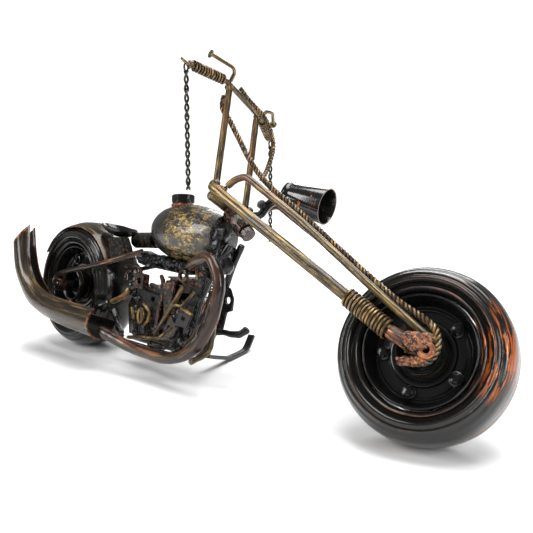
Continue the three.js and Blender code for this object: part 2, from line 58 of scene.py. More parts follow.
def leaned_frame():
    across = Vector(joints["rear_wheel_spin"]["axis"])
    forward = Vector((1, 0, 0))
    turn = Matrix((forward, across, forward.cross(across))).transposed().to_4x4()
    centre = Vector(joints["rear_wheel_spin"]["pos_m"])
    axle = Vector((0, 0, REAR_AXLE_HEIGHT)) * MM
    return Matrix.Translation(centre - turn @ axle) @ turn


def turned_frame(leaned):
    steering = joints["steering"]
    pivot = Matrix.Translation(Vector(steering["pos_m"]))
    turn = Matrix.Rotation(STEER, 4, Vector(steering["axis"]))
    return pivot @ turn @ pivot.inverted() @ leaned


LEANED = leaned_frame()
TURNED = turned_frame(LEANED)
PARKED = Matrix.Identity(4)


# Finishes
def tint(red, green, blue):
    """An sRGB colour from 0 to 255 as Blender's linear colour."""
    def linear(v):
        v /= 255
        return v / 12.92 if v <= 0.04045 else ((v + 0.055) / 1.055) ** 2.4
    return (linear(red), linear(green), linear(blue), 1)


BLACK = tint(13, 13, 14)
GREY = tint(62, 61, 60)
OLIVE = tint(74, 62, 36)
GOLD = tint(144, 119, 68)
PALE_GOLD = tint(188, 162, 100)
BRONZE = tint(108, 90, 66)
COPPER = tint(166, 104, 66)
RUST = tint(92, 56, 40)
ORANGE = tint(222, 114, 42)


def feed(tree, node, inputs):
    """Gives each input its value, or joins it to the socket that feeds it."""
    for name, value in inputs.items():
        if isinstance(value, bpy.types.NodeSocket):
            tree.links.new(value, node.inputs[name])
        else:
            node.inputs[name].default_value = value
    return node


def add_node(tree, kind, inputs, **settings):
    node = tree.nodes.new(kind)
    for name, value in settings.items():
        setattr(node, name, value)
    return feed(tree, node, inputs)


class Finish:
    """Lacquer rubbed with metallic paint. Colour comes from layers of noise over a base coat.

    Each piece stores a vector named grain: its own straightened shape in millimetres, so brushed
    streaks run along a rod and round a wheel.
    """

    def __init__(self, name, base, gloss=0.16, shine=0.3, coat=0.14):
        self.material = bpy.data.materials.new(name)
        self.material.use_nodes = True
        self.tree = self.material.node_tree
        self.shader = self.tree.nodes["Principled BSDF"]
        coating = {"Specular IOR Level": shine, "Coat Weight": coat, "Coat Roughness": 0.08}
        feed(self.tree, self.shader, coating)
        self.grain = self.stored("grain", "Vector")
        shade = self.mask(0.35, 0.3, 0.8, 3, 5)
        paler = tuple(min(1, c * 1.5 + 0.001) for c in base[:3]) + (1,)
        self.colour = self.blend(shade, base, paler)
        self.rough = self.math("ADD", self.both(shade, 0.12), gloss)
        self.metal = None

    def node(self, kind, inputs=None, **settings):
        return add_node(self.tree, kind, inputs or {}, **settings)

    def math(self, operation, a, b):
        return self.node("ShaderNodeMath", {0: a, 1: b}, operation=operation).outputs[0]

    def both(self, a, b):
        return self.math("MULTIPLY", a, b)

    def blend(self, amount, a, b):
        mix = self.node("ShaderNodeMix", {"Factor": amount, "A": a, "B": b}, data_type="RGBA")
        return mix.outputs["Result"]

    def ramp(self, value, low, high, kind="SMOOTHSTEP"):
        """0 where value is at low and 1 where it is at high."""
        inputs = {"Value": value, "From Min": low, "From Max": high}
        return self.node("ShaderNodeMapRange", inputs, interpolation_type=kind).outputs["Result"]

    def mask(self, scale, low, high, seed, detail=7):
        """Noise along the grain, cut to 0 below low and 1 above high."""
        offset = (seed * 13.7, seed * 7.3, seed * 3.1)
        place = self.node("ShaderNodeVectorMath", {0: self.grain, 1: offset}, operation="ADD")
        inputs = {"Vector": place.outputs[0], "Scale": scale, "Detail": detail, "Roughness": 0.62}
        return self.ramp(self.node("ShaderNodeTexNoise", inputs).outputs["Fac"], low, high)

    def stored(self, name, output="Fac"):
        """What each point of the piece keeps: rub, a number from 0 to 1, or grain, a vector."""
        return self.node("ShaderNodeAttribute", attribute_name=name).outputs[output]

    def window(self, start, end, fade):
        """1 where the grain's run along the piece is between start and end, fading out beyond."""
        run = self.node("ShaderNodeSeparateXYZ", {0: self.grain}).outputs[2]
        return self.both(self.ramp(run, start - fade, start + fade), self.ramp(run, end + fade, end - fade))

    def edges(self, low, high):
        """1 along sharp outer edges."""
        return self.ramp(self.node("ShaderNodeNewGeometry").outputs["Pointiness"], low, high, "LINEAR")

    def rub(self, colour, amount, share=1.0, metal=0.55, rough=0.2):
        """Metallic paint where amount is 1, thinned by share."""
        if share != 1.0:
            amount = self.both(amount, share)
        self.colour = self.blend(amount, self.colour, colour)
        self.rough = self.math("ADD", self.rough, self.both(amount, rough))
        part = self.both(amount, metal)
        self.metal = self.math("MAXIMUM", self.metal, part) if self.metal else part

    def done(self, bumps=((2.2, 0.25), (0.5, 0.5)), depth=0.12):
        """Joins colour, roughness and bump to the shader. A bump is a noise scale and its weight."""
        height = 0.0
        for seed, (scale, weight) in enumerate(bumps, 31):
            height = self.math("ADD", height, self.both(self.mask(scale, 0.2, 0.8, seed, 4), weight))
        bump = self.node("ShaderNodeBump", {"Strength": 0.55, "Distance": depth * MM, "Height": height})
        feed(self.tree, self.shader, {"Base Color": self.colour, "Roughness": self.rough,
                                      "Metallic": self.metal, "Normal": bump.outputs["Normal"]})
        return self.material


def lacquer():
    f = Finish("lacquer", BLACK, 0.12)
    f.rub(BRONZE, f.both(f.edges(0.55, 0.68), f.mask(0.5, 0.5, 0.62, 2)), 0.6)
    f.rub(RUST, f.mask(0.16, 0.66, 0.76, 5), 0.4, 0.3)
    return f.done()


def rubbed_gold():
    f = Finish("rubbed_gold", tint(30, 25, 18), 0.2)
    f.rub(OLIVE, f.mask(0.6, 0.4, 0.62, 1), 0.9, 0.5, 0.14)
    f.rub(GOLD, f.mask(0.7, 0.48, 0.66, 2), 1.0, 0.75, 0.12)
    f.rub(PALE_GOLD, f.mask(1.3, 0.58, 0.72, 3), 0.85, 0.75)
    f.rub(COPPER, f.mask(0.12, 0.62, 0.72, 4, 3), 0.3, 0.6)
    return f.done(((2.6, 0.4), (0.6, 0.5)))


def wound_wire(name, dull, bright):
    """Dark wire whose outward side has been rubbed: stored as rub on each point."""
    f = Finish(name, tint(15, 13, 11), 0.18)
    worn = f.both(f.stored("rub"), f.mask(0.5, 0.25, 0.5, 2))
    f.rub(dull, worn, 1.0, 0.5, 0.14)
    f.rub(bright, worn, f.mask(0.8, 0.46, 0.64, 5), 0.6, 0.1)
    return f.done(((2.6, 0.3), (0.8, 0.3)))


def bronze_with_painted_inner_shade():
    """Brushed bronze outside. The inner side of a half pipe or of the fender, where rub is stored, stays
    plain black as painted shade.
    """
    f = Finish("bronze_with_painted_inner_shade", tint(21, 19, 17), 0.14)
    # The inner side gets no paint: its plain black is painted shade.
    outside = f.math("SUBTRACT", 1.0, f.stored("rub"))
    f.rub(tint(72, 58, 44), f.mask(0.5, 0.38, 0.68, 1), outside, 0.45, 0.14)
    f.rub(GOLD, f.both(f.mask(0.6, 0.54, 0.7, 3), 0.6), outside, 0.6, 0.1)
    f.rub(COPPER, f.both(f.edges(0.53, 0.6), outside), f.mask(0.5, 0.45, 0.62, 6))
    return f.done()


def rubbed_copper():
    f = Finish("rubbed_copper", tint(18, 14, 12), 0.16)
    f.rub(RUST, f.mask(0.4, 0.46, 0.68, 1), 0.6, 0.35, 0.12)
    f.rub(COPPER, f.mask(0.6, 0.56, 0.7, 2), 0.75, 0.55, 0.12)
    f.rub(GOLD, f.mask(0.3, 0.6, 0.72, 8), 0.5)
    return f.done(((2.4, 0.5), (0.7, 0.6)))


def weld_copper():
    """Bright copper paint on weld metal."""
    f = Finish("weld_copper", tint(34, 21, 17), 0.24)
    f.rub(tint(142, 88, 58), f.mask(0.6, 0.44, 0.62, 2), 1.0, 0.65, 0.14)
    f.rub(tint(208, 144, 94), f.mask(1.1, 0.52, 0.66, 3), 0.9, 0.65, 0.14)
    return f.done(((1.6, 0.9), (0.6, 0.9)), 0.35)


def header_paint():
    """Glossy brown black with long rubs of gold and copper."""
    f = Finish("header_paint", tint(24, 19, 17), 0.14)
    f.rub(RUST, f.mask(0.3, 0.46, 0.62, 9), 0.5, 0.4, 0.12)
    f.rub(BRONZE, f.mask(0.2, 0.54, 0.66, 1), 0.5, 0.4)
    f.rub(GOLD, f.mask(0.3, 0.6, 0.72, 2), 0.5)
    f.rub(COPPER, f.mask(0.17, 0.58, 0.68, 4), 0.5)
    return f.done()


def scrap():
    """Black scrap whose cut edges have been rubbed with copper and gold."""
    f = Finish("scrap", tint(11, 10, 11), 0.15, 0.3, 0.2)
    f.rub(tint(34, 31, 29), f.mask(0.4, 0.5, 0.8, 8), 0.5, 0.2, 0.1)
    f.rub(COPPER, f.both(f.edges(0.58, 0.68), f.mask(0.3, 0.5, 0.6, 3)), 0.8)
    f.rub(GOLD, f.both(f.edges(0.57, 0.68), f.mask(0.3, 0.54, 0.64, 9)), 0.7)
    return f.done(((1.6, 0.6), (0.6, 0.6)), 0.2)


def lamp_paint():
    """Black with orange scratches along the cup."""
    f = Finish("lamp_paint", BLACK, 0.1, 0.4, 0.3)
    f.rub(ORANGE, f.mask(0.45, 0.63, 0.69, 4, 5), 0.8, 0.3)
    f.rub(COPPER, f.edges(0.55, 0.64), 0.6)
    return f.done()


def tyre_paint(name, orange):
    """Black with paler ridges. The front tyre also has orange where rub is stored."""
    f = Finish(name, tint(13, 12, 11), 0.13, 0.3, 0.2)
    f.rub(tint(46, 40, 34), f.edges(0.51, 0.57), f.mask(0.5, 0.36, 0.62, 2), 0.3)
    f.rub(RUST, f.mask(0.12, 0.6, 0.72, 7), 0.4, 0.3)
    if orange:
        f.rub(ORANGE, f.stored("rub"), f.mask(0.42, 0.51, 0.57, 11), 0.3)
        f.rub(COPPER, f.both(f.edges(0.52, 0.6), f.mask(0.25, 0.52, 0.6, 17)), 0.8, 0.3)
    return f.done(((1.4, 0.3), (0.35, 0.8)), 0.2)


def tank_paint():
    """Black, with gold brushed round the forward half of the tank."""
    f = Finish("tank_paint", tint(17, 16, 14), 0.12, 0.45, 0.4)
    patch = f.both(f.window(34, 61, 8), f.mask(0.1, 0.38, 0.54, 6, 3))
    f.rub(GREY, f.mask(0.15, 0.5, 0.75, 1), 0.35, 0.3)
    f.rub(GOLD, f.mask(0.32, 0.44, 0.6, 2), patch, 0.6)
    f.rub(PALE_GOLD, f.mask(0.5, 0.53, 0.68, 3), patch, 0.6)
    f.rub(COPPER, f.mask(0.3, 0.6, 0.7, 4), 0.4, 0.4)
    return f.done(((0.9, 0.5), (0.22, 1.0)), 0.35)


FINISHES = {
    "lacquer": (lacquer(), "black"),
    "gold": (rubbed_gold(), "gold"),
    "bronze": (bronze_with_painted_inner_shade(), "bronze"),
    "copper": (rubbed_copper(), "copper"),
    "scrap": (scrap(), "black"),
    "tyre": (tyre_paint("tyre_paint", False), "black"),
    "front_tyre": (tyre_paint("front_tyre_paint", True), "black"),
    "wound": (wound_wire("wound_wire", tint(80, 64, 42), tint(166, 134, 86)), "gold"),
    "chain": (wound_wire("chain_wire", tint(40, 36, 28), tint(92, 82, 56)), "black"),
    "weld": (weld_copper(), "copper"),
    "tank": (tank_paint(), "gold"),
    "header": (header_paint(), "copper"),
    "lamp": (lamp_paint(), "black"),
}


# Paths
def V(x, y, z):
    return Vector((x, y, z))


def catmull(points, per=8):
    """A smooth line through the points."""
    ends = [points[0] * 2 - points[1], *points, points[-1] * 2 - points[-2]]
    line = []
    for a, b, c, d in zip(ends, ends[1:], ends[2:], ends[3:]):
        for k in range(per):
            t = k / per
            line.append(0.5 * (2 * b + (c - a) * t + (2 * a - 5 * b + 4 * c - d) * t * t
                               + (3 * b - 3 * c + d - a) * t ** 3))
    line.append(points[-1].copy())
    return line


def bent(points, bend=5, per=7):
    """Straight runs through the points with each corner rounded off."""
    line = [points[0].copy()]
    for before, corner, after in zip(points, points[1:], points[2:]):
        into, out = corner - before, after - corner
        reach = min(bend, into.length * 0.45, out.length * 0.45)
        start, end = corner - into.normalized() * reach, corner + out.normalized() * reach
        for k in range(per + 1):
            t = k / per
            line.append(start * (1 - t) ** 2 + corner * 2 * t * (1 - t) + end * t * t)
    line.append(points[-1].copy())
    return line


def circle(centre, side, up, count):
    """count points round the centre, and the first again."""
    turns = (2 * math.pi * k / count for k in range(count + 1))
    return [centre + side * math.cos(a) + up * math.sin(a) for a in turns]


def even(points, step):
    """The same line with evenly spaced points."""
    lengths = [0.0]
    for a, b in zip(points, points[1:]):
        lengths.append(lengths[-1] + (b - a).length)
    count = max(2, round(lengths[-1] / step))
    out, i = [], 0
    for k in range(count + 1):
        want = lengths[-1] * k / count
        while i < len(points) - 2 and lengths[i + 1] < want:
            i += 1
        span = lengths[i + 1] - lengths[i]
        out.append(points[i].lerp(points[i + 1], (want - lengths[i]) / span if span else 0))
    return out


def carried_frames(points):
    """Tangent and two crosswise directions at each point, turning as little as they can."""
    tangents = []
    for i in range(len(points)):
        ahead, behind = points[min(i + 1, len(points) - 1)], points[max(i - 1, 0)]
        tangents.append((ahead - behind).normalized())
    side = tangents[0].orthogonal().normalized()
    out = []
    for t in tangents:
        side = (side - t * side.dot(t)).normalized()
        out.append((t, side, t.cross(side)))
    return out


# Shapes
ROD_END = ((0.62, 0.0), (0.88, 0.12))  # shares of the radius, and how many radii in from the end
SMOOTH_BELOW = math.radians(38)
BEVEL_ABOVE = math.radians(30)


class Shape:
    """Collects closed shells, in millimetres, that become one piece."""

    def __init__(self):
        self.points, self.faces, self.grain, self.rub = [], [], [], []

    def shell(self, points, faces, grain=None, rub=None):
        first = len(self.points)
        self.points += points
        self.grain += grain or points
        self.rub += rub or [0.0] * len(points)
        self.faces += [[first + i for i in face] for face in faces]
        return self

    def rings(self, rings, grain, closed=False, rub=None):
        """A skin over rings of points, with flat ends unless the rings close on themselves."""
        n = len(rings[0])
        count = len(rings)
        faces = []
        for i in range(count if closed else count - 1):
            for j in range(n):
                a, b = i * n + j, i * n + (j + 1) % n
                c, d = (i + 1) % count * n + (j + 1) % n, (i + 1) % count * n + j
                faces.append((a, b, c, d))
        if not closed:
            faces.append(tuple(reversed(range(n))))
            faces.append(tuple((count - 1) * n + j for j in range(n)))
        return self.shell([p for r in rings for p in r], faces, [g for r in grain for g in r], rub)

    def tube(self, points, radius, sides=16, step=1.2, rough=0.02, streak=0.1, seed=0, closed=False):
        """A rod along the line, slightly uneven, with eased ends. radius may be a function of 0 to 1."""
        line = even(points, step)
        if closed:
            line = line[:-1]
        size = radius if callable(radius) else lambda t: radius
        last = len(line) - 1
        stops = [(i, 1.0, 0.0) for i in range(last + 1)]
        if not closed:
            stops[:1] = [(0, share, slide) for share, slide in ROD_END]
            stops[-1:] = [(last, share, -slide) for share, slide in reversed(ROD_END)]
        frames = carried_frames(line + line[:1])[:-1] if closed else carried_frames(line)
        pace = (line[1] - line[0]).length * streak
        rings, grain = [], []
        for i, share, slide in stops:
            along, side, up = frames[i]
            r = size(i / max(1, last))
            centre = line[i] + along * slide * r
            ring = []
            for d in circle(V(0, 0, 0), side, up, sides)[:-1]:
                wobble = noise.noise(centre * 0.23 + d * 0.8 + V(seed * 5.1, 0, 0))
                ring.append(centre + d * r * share * (1 + rough * 2 * wobble))
            rings.append(ring)
            grain.append(circle(V(seed * 3, 0, i * pace), V(r, 0, 0), V(0, r, 0), sides)[:-1])
        return self.rings(rings, grain, closed)

    def lathe(self, profile, where, segments=96, streak=0.12, wobble=0.0):
        """A closed loop of (radius, height) pairs turned about where's Z axis."""
        rings, grain, run = [], [], 0.0
        for i, (r, h) in enumerate(profile):
            before = profile[i - 1]
            run += math.hypot(r - before[0], h - before[1]) if i else 0
            ring, marks = [], []
            for j in range(segments):
                a = 2 * math.pi * j / segments
                d = V(math.cos(a), math.sin(a), 0)
                bend = wobble * noise.noise(d * 2.4 + V(0, 0, h * 0.12))
                ring.append(where @ (d * (r + bend) + V(0, 0, h + bend * 0.5)))
                marks.append(V(math.cos(a) * r * streak, math.sin(a) * r * streak, run))
            rings.append(ring)
            grain.append(marks)
        return self.rings(rings, grain, closed=True)

    def prism(self, outline, where, thick, hole=None):
        """A flat outline in where's X and Y, thickened along Z. hole is (x, y, radius)."""
        bm = bmesh.new()
        edges = []
        loops = [[V(x, y, 0) for x, y in outline]]
        if hole:
            x, y, r = hole
            loops.append(circle(V(x, y, 0), V(r, 0, 0), V(0, r, 0), 16)[:-1])
        for loop in loops:
            made = [bm.verts.new(p) for p in loop]
            edges += [bm.edges.new((made[i - 1], made[i])) for i in range(len(made))]
        bmesh.ops.triangle_fill(bm, edges=edges, use_beauty=True)
        faces = bm.faces[:]
        bmesh.ops.recalc_face_normals(bm, faces=faces)
        moved = bmesh.ops.extrude_face_region(bm, geom=faces)
        for v in moved["geom"]:
            if isinstance(v, bmesh.types.BMVert):
                v.co.z += thick
        bmesh.ops.recalc_face_normals(bm, faces=bm.faces[:])
        bevel_sharp(bm, min(0.35, thick * 0.3))
        return self.take(bm, where)

    def take(self, bm, where=None):
        """Adds a bmesh, which is used up."""
        bm.verts.index_update()
        raw = [v.co.copy() for v in bm.verts]
        faces = [[v.index for v in f.verts] for f in bm.faces]
        bm.free()
        points = [where @ p for p in raw] if where else raw
        return self.shell(points, faces, points)

    def blob(self, centre, size, seed, lumps, detail=3):
        """A bead of weld: a lumpy ball of the given half sizes."""
        bm = bmesh.new()
        bmesh.ops.create_icosphere(bm, subdivisions=detail, radius=1)
        for v in bm.verts:
            fine = 0.5 * noise.noise(v.co * 3.1 + V(seed, 4, 0))
            v.co *= 1 + lumps * (noise.noise(v.co * 1.3 + V(seed * 3.3, 1, 2)) + fine)
            v.co = centre + V(v.co.x * size[0], v.co.y * size[1], v.co.z * size[2])
        return self.take(bm)

    def nut(self, start, end, across, bore=0, corners=6, turn=0.0, chamfer=0.12):
        """A nut or bolt head along the line from start to end. across is its radius to a corner."""
        where = towards(start, end - start)
        length = (end - start).length
        cut = across * chamfer
        sides = corners * 8

        def corner_radius(a, limit):
            step = 2 * math.pi / corners
            off = (a - turn + step / 2) % step - step / 2
            flat = across * math.cos(step / 2) / math.cos(abs(off) - step / 2)
            return min(flat, limit)

        ease = cut * 0.6
        levels = [(across - cut, 0), (across, ease), (across, length - ease), (across - cut, length)]
        rings = []
        for limit, h in levels:
            rings.append([where @ (V(math.cos(a), math.sin(a), 0) * corner_radius(a, limit) + V(0, 0, h))
                          for a in (2 * math.pi * j / sides for j in range(sides))])
        if bore:
            dip = min(0.6, length * 0.3)
            for r, h in ((bore + 0.35, length), (bore, length - dip), (bore, dip), (bore + 0.35, 0)):
                rings.append([where @ p for p in circle(V(0, 0, h), V(r, 0, 0), V(0, r, 0), sides)[:-1]])
        return self.rings(rings, rings, closed=bool(bore))

    def on_frame(self, name, finish, *replaces, noisy=0.0):
        self.make(name, "frame", finish, LEANED, *replaces, noisy=noisy)

    def on_fork(self, name, finish, *replaces, noisy=0.0):
        self.make(name, "front_end", finish, TURNED, *replaces, noisy=noisy)

    def make(self, name, body, finish, where, *replaces, noisy=0.0):
        """Makes the piece. noisy roughens its surface by up to that many millimetres."""
        mesh = bpy.data.meshes.new(name)
        mesh.from_pydata([where @ (p * MM) for p in self.points], [], self.faces)
        bm = bmesh.new()
        bm.from_mesh(mesh)
        bmesh.ops.recalc_face_normals(bm, faces=bm.faces[:])
        if noisy:
            for v in bm.verts:
                v.co += v.normal * noise.noise(v.co / MM * 0.9) * noisy * MM
        for e in bm.edges:
            e.smooth = len(e.link_faces) == 2 and e.calc_face_angle(0) < SMOOTH_BELOW
        for f in bm.faces:
            f.smooth = True
        bm.to_mesh(mesh)
        bm.free()
        grain = mesh.attributes.new("grain", "FLOAT_VECTOR", "POINT")
        grain.data.foreach_set("vector", [c for g in self.grain for c in g])
        rub = mesh.attributes.new("rub", "FLOAT", "POINT")
        rub.data.foreach_set("value", self.rub)
        material, material_slot = FINISHES[finish]
        mesh.materials.append(material)
        piece = bpy.data.objects.new(name, mesh)
        bpy.context.scene.collection.objects.link(piece)
        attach(piece, body)
        if replaces:
            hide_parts(*replaces)


def bevel_sharp(bm, width):
    edges = [e for e in bm.edges if len(e.link_faces) == 2 and e.calc_face_angle(0) > BEVEL_ABOVE]
    bmesh.ops.bevel(bm, geom=edges, offset=width, segments=2, affect="EDGES", clamp_overlap=True)


def towards(start, direction):
    """A place whose Z axis runs from start along the direction."""
    return Matrix.Translation(start) @ direction.to_track_quat("Z", "Y").to_matrix().to_4x4()


def along_y(centre):
    """A place whose Z axis runs along the machine's Y axis."""
    return Matrix.Translation(centre) @ Matrix.Rotation(-math.pi / 2, 4, "X")


def in_side(y):
    """A place whose X and Y are the machine's X and Z, at the given distance to the left."""
    return Matrix.Translation(V(0, y, 0)) @ Matrix.Rotation(math.pi / 2, 4, "X")


def wind(shape, line, outward, radius):
    """A wire along the line. Its side towards the matching outward direction stores rub."""
    rings, grain, rub = [], [], []
    pace = (line[1] - line[0]).length * 0.3
    for i, (p, (_, side, up), away) in enumerate(zip(line, carried_frames(line), outward)):
        ease = 0.6 if i in (0, len(line) - 1) else 1.0
        round_wire = circle(V(0, 0, 0), side, up, 8)[:-1]
        rings.append([p + d * radius * ease for d in round_wire])
        grain.append(circle(V(0, 0, i * pace), V(radius, 0, 0), V(0, radius, 0), 8)[:-1])
        rub += [min(1.0, max(0.0, (d.dot(away) - 0.5) / 0.4)) for d in round_wire]
    return shape.rings(rings, grain, rub=rub)


def coil(start, end, radius, wire, turns):
    """A coil spring or a wound grip, its turns spaced a little wider at both ends than in the middle."""
    axis = end - start
    direction = axis.normalized()
    side = direction.orthogonal().normalized()
    up = direction.cross(side)
    count = int(turns * 20)
    line, outward = [], []
    for i in range(count + 1):
        t = i / count
        run = t + 0.1 * math.sin(2 * math.pi * t) / (2 * math.pi)
        a = t * turns * 2 * math.pi
        outward.append(side * math.cos(a) + up * math.sin(a))
        line.append(start + axis * run + outward[-1] * radius)
    return wind(Shape(), line, outward, wire)


def rope(points, offset, wire, pitch, count=3, step=0.55):
    """Wires twisted together along a smooth line."""
    shape = Shape()
    spine = even(catmull(points), step)
    frames = carried_frames(spine)
    for k in range(count):
        line, outward = [], []
        for i, (p, (_, side, up)) in enumerate(zip(spine, frames)):
            a = 2 * math.pi * (i * step / pitch + k / count)
            outward.append(side * math.cos(a) + up * math.sin(a))
            line.append(p + outward[-1] * offset)
        wind(shape, line, outward, wire)
    return shape


SIDES = (("right", -1), ("left", 1))


# Wheels
BOSSES, BOSS_CIRCLE = 5, 18
AXLE_RADIUS, AXLE_HALF, AXLE_NUT = 2.6, 26, 4.6
FRONT_AXLE = V(251.1, 0, 42.9)
REAR_AXLE = V(0, 0, REAR_AXLE_HEIGHT)


def mirrored_profile(half):
    return half + [(r, -h) for r, h in reversed(half)]


def eased(profile):
    """The open profile with its corners cut."""
    out = [profile[0]]
    for (r0, h0), (r1, h1) in zip(profile, profile[1:]):
        out.append((r0 * 0.75 + r1 * 0.25, h0 * 0.75 + h1 * 0.25))
        out.append((r0 * 0.25 + r1 * 0.75, h0 * 0.25 + h1 * 0.75))
    return out + [profile[-1]]


TYRE_WALL = [(26.1, 0), (26.1, 12.6), (26.7, 13.6), (27.5, 15.0), (28.3, 15.3), (28.9, 14.4),
             (29.5, 13.9), (30.1, 14.4), (30.8, 15.7), (31.6, 16.4), (32.4, 16.5), (33.0, 15.8),
             (33.5, 15.2), (34.1, 15.4), (34.9, 15.3), (35.5, 14.2), (36.0, 13.4), (36.7, 13.1),
             (37.4, 12.3), (38.0, 10.9), (38.6, 9.7), (39.1, 8.4), (39.6, 6.0), (39.95, 3.0), (40.0, 0)]
DISH = [(25.6, 0), (25.6, 13.2), (25.1, 13.7), (24.5, 13.4), (24.0, 12.2), (23.2, 8.4), (22.6, 6.2),
        (21.8, 4.9), (20.9, 4.5), (20.5, 4.9), (20.0, 5.0), (19.4, 4.6), (15.4, 4.5), (14.9, 5.2),
        (14.5, 5.9), (13.0, 5.9), (12.2, 5.0), (11.6, 4.7), (10.2, 4.6), (10.2, 0)]
HUB = [(10.5, 0), (10.5, 14.4), (10.1, 15), (9.4, 15), (9.0, 14.4), (8.6, 9), (6.6, 8.2), (5.4, 8.2),
       (5.0, 9.4), (3.6, 9.4), (3.1, 8.9), (3.1, 0)]


def orange_stretch(p):
    """How much orange is rubbed on the front tyre: most on its right wall, ahead of the axle."""
    ahead = max(0.0, 1 - abs(math.atan2(p.z, p.x) - 0.22) / 0.7)
    r = math.hypot(p.x, p.z)
    ridge = 1.0 if 30.4 < r < 33.4 or 35.2 < r < 37.4 else 0.45
    return min(1.0, ahead * 1.5) * ridge if p.y < -4 else 0.0


def build_wheel(prefix, body, centre, where):
    """The tyre, the dished rim with five bolted bosses on each side, and the hub."""
    middle = along_y(centre)
    tyre = Shape().lathe(eased(mirrored_profile(TYRE_WALL)), middle, 128, wobble=0.22)
    paint = "tyre"
    if prefix == "front":
        paint = "front_tyre"
        tyre.rub = [orange_stretch(p - centre) for p in tyre.points]
    tyre.make(f"{prefix}_tyre_skin", body, paint, where, f"{prefix}_tyre")
    dish = Shape().lathe(eased(mirrored_profile(DISH)), middle)
    for i in range(BOSSES):
        angle = (i + 0.35) * 2 * math.pi / BOSSES
        spot = centre + V(math.cos(angle), 0, -math.sin(angle)) * BOSS_CIRCLE
        for sign in (-1, 1):
            dish.nut(spot + V(0, sign * 3.8, 0), spot + V(0, sign * 6.3, 0), 3.3, 0, 16, 0, 0.2)
            dish.nut(spot + V(0, sign * 6.1, 0), spot + V(0, sign * 7.9, 0), 2.5, 0, 6, i, 0.2)
    dish.make(f"{prefix}_dish", body, "lacquer", where, f"{prefix}_rim")
    hub = Shape().lathe(mirrored_profile(HUB), middle, 64)
    hub.make(f"{prefix}_hub_ring", body, "lacquer", where, f"{prefix}_hub")


def build_axle(prefix, body, centre, nut_start, where):
    reach = V(0, AXLE_HALF, 0)
    axle = Shape().tube([centre - reach, centre + reach], AXLE_RADIUS, 24, 1.5)
    axle.make(f"{prefix}_axle_bar", body, "lacquer", where, f"{prefix}_axle")
    for side, sign in SIDES:
        inner = centre + V(0, sign * nut_start, 0)
        outer = centre + V(0, sign * (AXLE_HALF - 0.4), 0)
        cap = Shape().nut(inner, outer, AXLE_NUT, AXLE_RADIUS + 0.3)
        cap.make(f"{prefix}_nut_{side}", body, "copper", where, f"{prefix}_axle_nut_{side}")


build_wheel("front", "front_wheel", FRONT_AXLE, TURNED)
build_wheel("rear", "rear_wheel", REAR_AXLE, LEANED)
build_axle("front", "front_end", FRONT_AXLE, 24.2, TURNED)
build_axle("rear", "frame", REAR_AXLE, 20.5, LEANED)


# Fork
LEG_SPREAD = 21
LEG_TOP = (126.6, 103.1)
SPRING_FOOT = (239, 47.2)
LEG_END = (247.6, 43.8)
SPRING_LENGTH = 25.2
LEG_RADIUS, ROD_RADIUS = 2.85, 1.85


def build_fork_side(side, sign):
    """A thick leg with its spring, a thin rod above it, a riser, and the welds at both ends."""
    y = sign * LEG_SPREAD
    top, foot, end = (V(x, y, z) for x, z in (LEG_TOP, SPRING_FOOT, LEG_END))
    leg = Shape().tube(bent([top, foot, end], 2), LEG_RADIUS, 24, 1.6, 0.025, 0.07, 1)
    leg.on_fork(f"leg_{side}", "gold", f"fork_leg_{side}")
    along = (foot - top).normalized()
    low = foot - along * 0.4
    high = low - along * SPRING_LENGTH
    spring = coil(high, low, 3.95, 0.76, 14)
    spring.on_fork(f"coil_{side}", "wound", f"fork_spring_{side}")
    past = end + (end - foot).normalized() * 4
    stub = Shape().tube([foot - along * 0.6, foot + along * 2, end, past], 3.3, 20, 1, 0.07)
    stub.on_fork(f"leg_stub_{side}", "weld")
    near, wide = sign * 20, sign * 22
    thin = [V(134.8, near, 104.4), V(138, near, 108.6), V(144, near, 111.4), V(181.4, sign * 20.6, 91.8),
            V(225, wide, 65.6), V(255.8, wide, 47.9)]
    rod = Shape().tube(bent(thin, 7), ROD_RADIUS, 18, 1.4, 0.02, 0.07, 4)
    rod.on_fork(f"rod_{side}", "gold", f"fork_rod_{side}")
    upright = [V(125.4, sign * 17, 107.2), V(114.6, sign * 17, 162.8)]
    riser = Shape().tube(upright, ROD_RADIUS, 18, 1.4, 0.03, 0.07, 5)
    riser.on_fork(f"riser_bar_{side}", "gold", f"riser_{side}")
    welds = Shape()
    welds.blob(V(251.4, sign * 24.4, 44.6), (5.4, 3.0, 4.6), 1, 0.22)
    welds.blob(V(256.4, sign * 23.4, 47.0), (3.6, 2.2, 2.6), 2, 0.3)
    bent_end = circle(V(257, sign * 24.2, 42), V(2.9, 0, 0), V(0, 0, 2.9), 20)
    welds.tube(bent_end, 1.3, 10, 0.6, 0.1, closed=True)
    for i in range(5):
        welds.blob(V(256.5 - 2.1 * i, sign * 23.6, 37.4 - 0.5 * i), (2.4, 1.8, 1.9), 4 + i, 0.5)
    welds.on_fork(f"axle_weld_{side}", "weld", noisy=0.25)
    beads = Shape()
    beads.blob(V(126.4, sign * 19.6, 105), (3.2, 2.4, 3.2), 6, 0.35)
    beads.blob(V(132.6, sign * 20.2, 102.6), (2.8, 2.0, 2.2), 7, 0.35)
    beads.on_fork(f"crown_weld_{side}", "gold", noisy=0.2)


for side, sign in SIDES:
    build_fork_side(side, sign)


# Steering head
HEAD = V(133.7, 0, 93.3)
RAKE = math.radians(53.6)
STEERING = V(-math.sin(RAKE), 0, math.cos(RAKE))


def on_head(distance):
    return HEAD + STEERING * distance


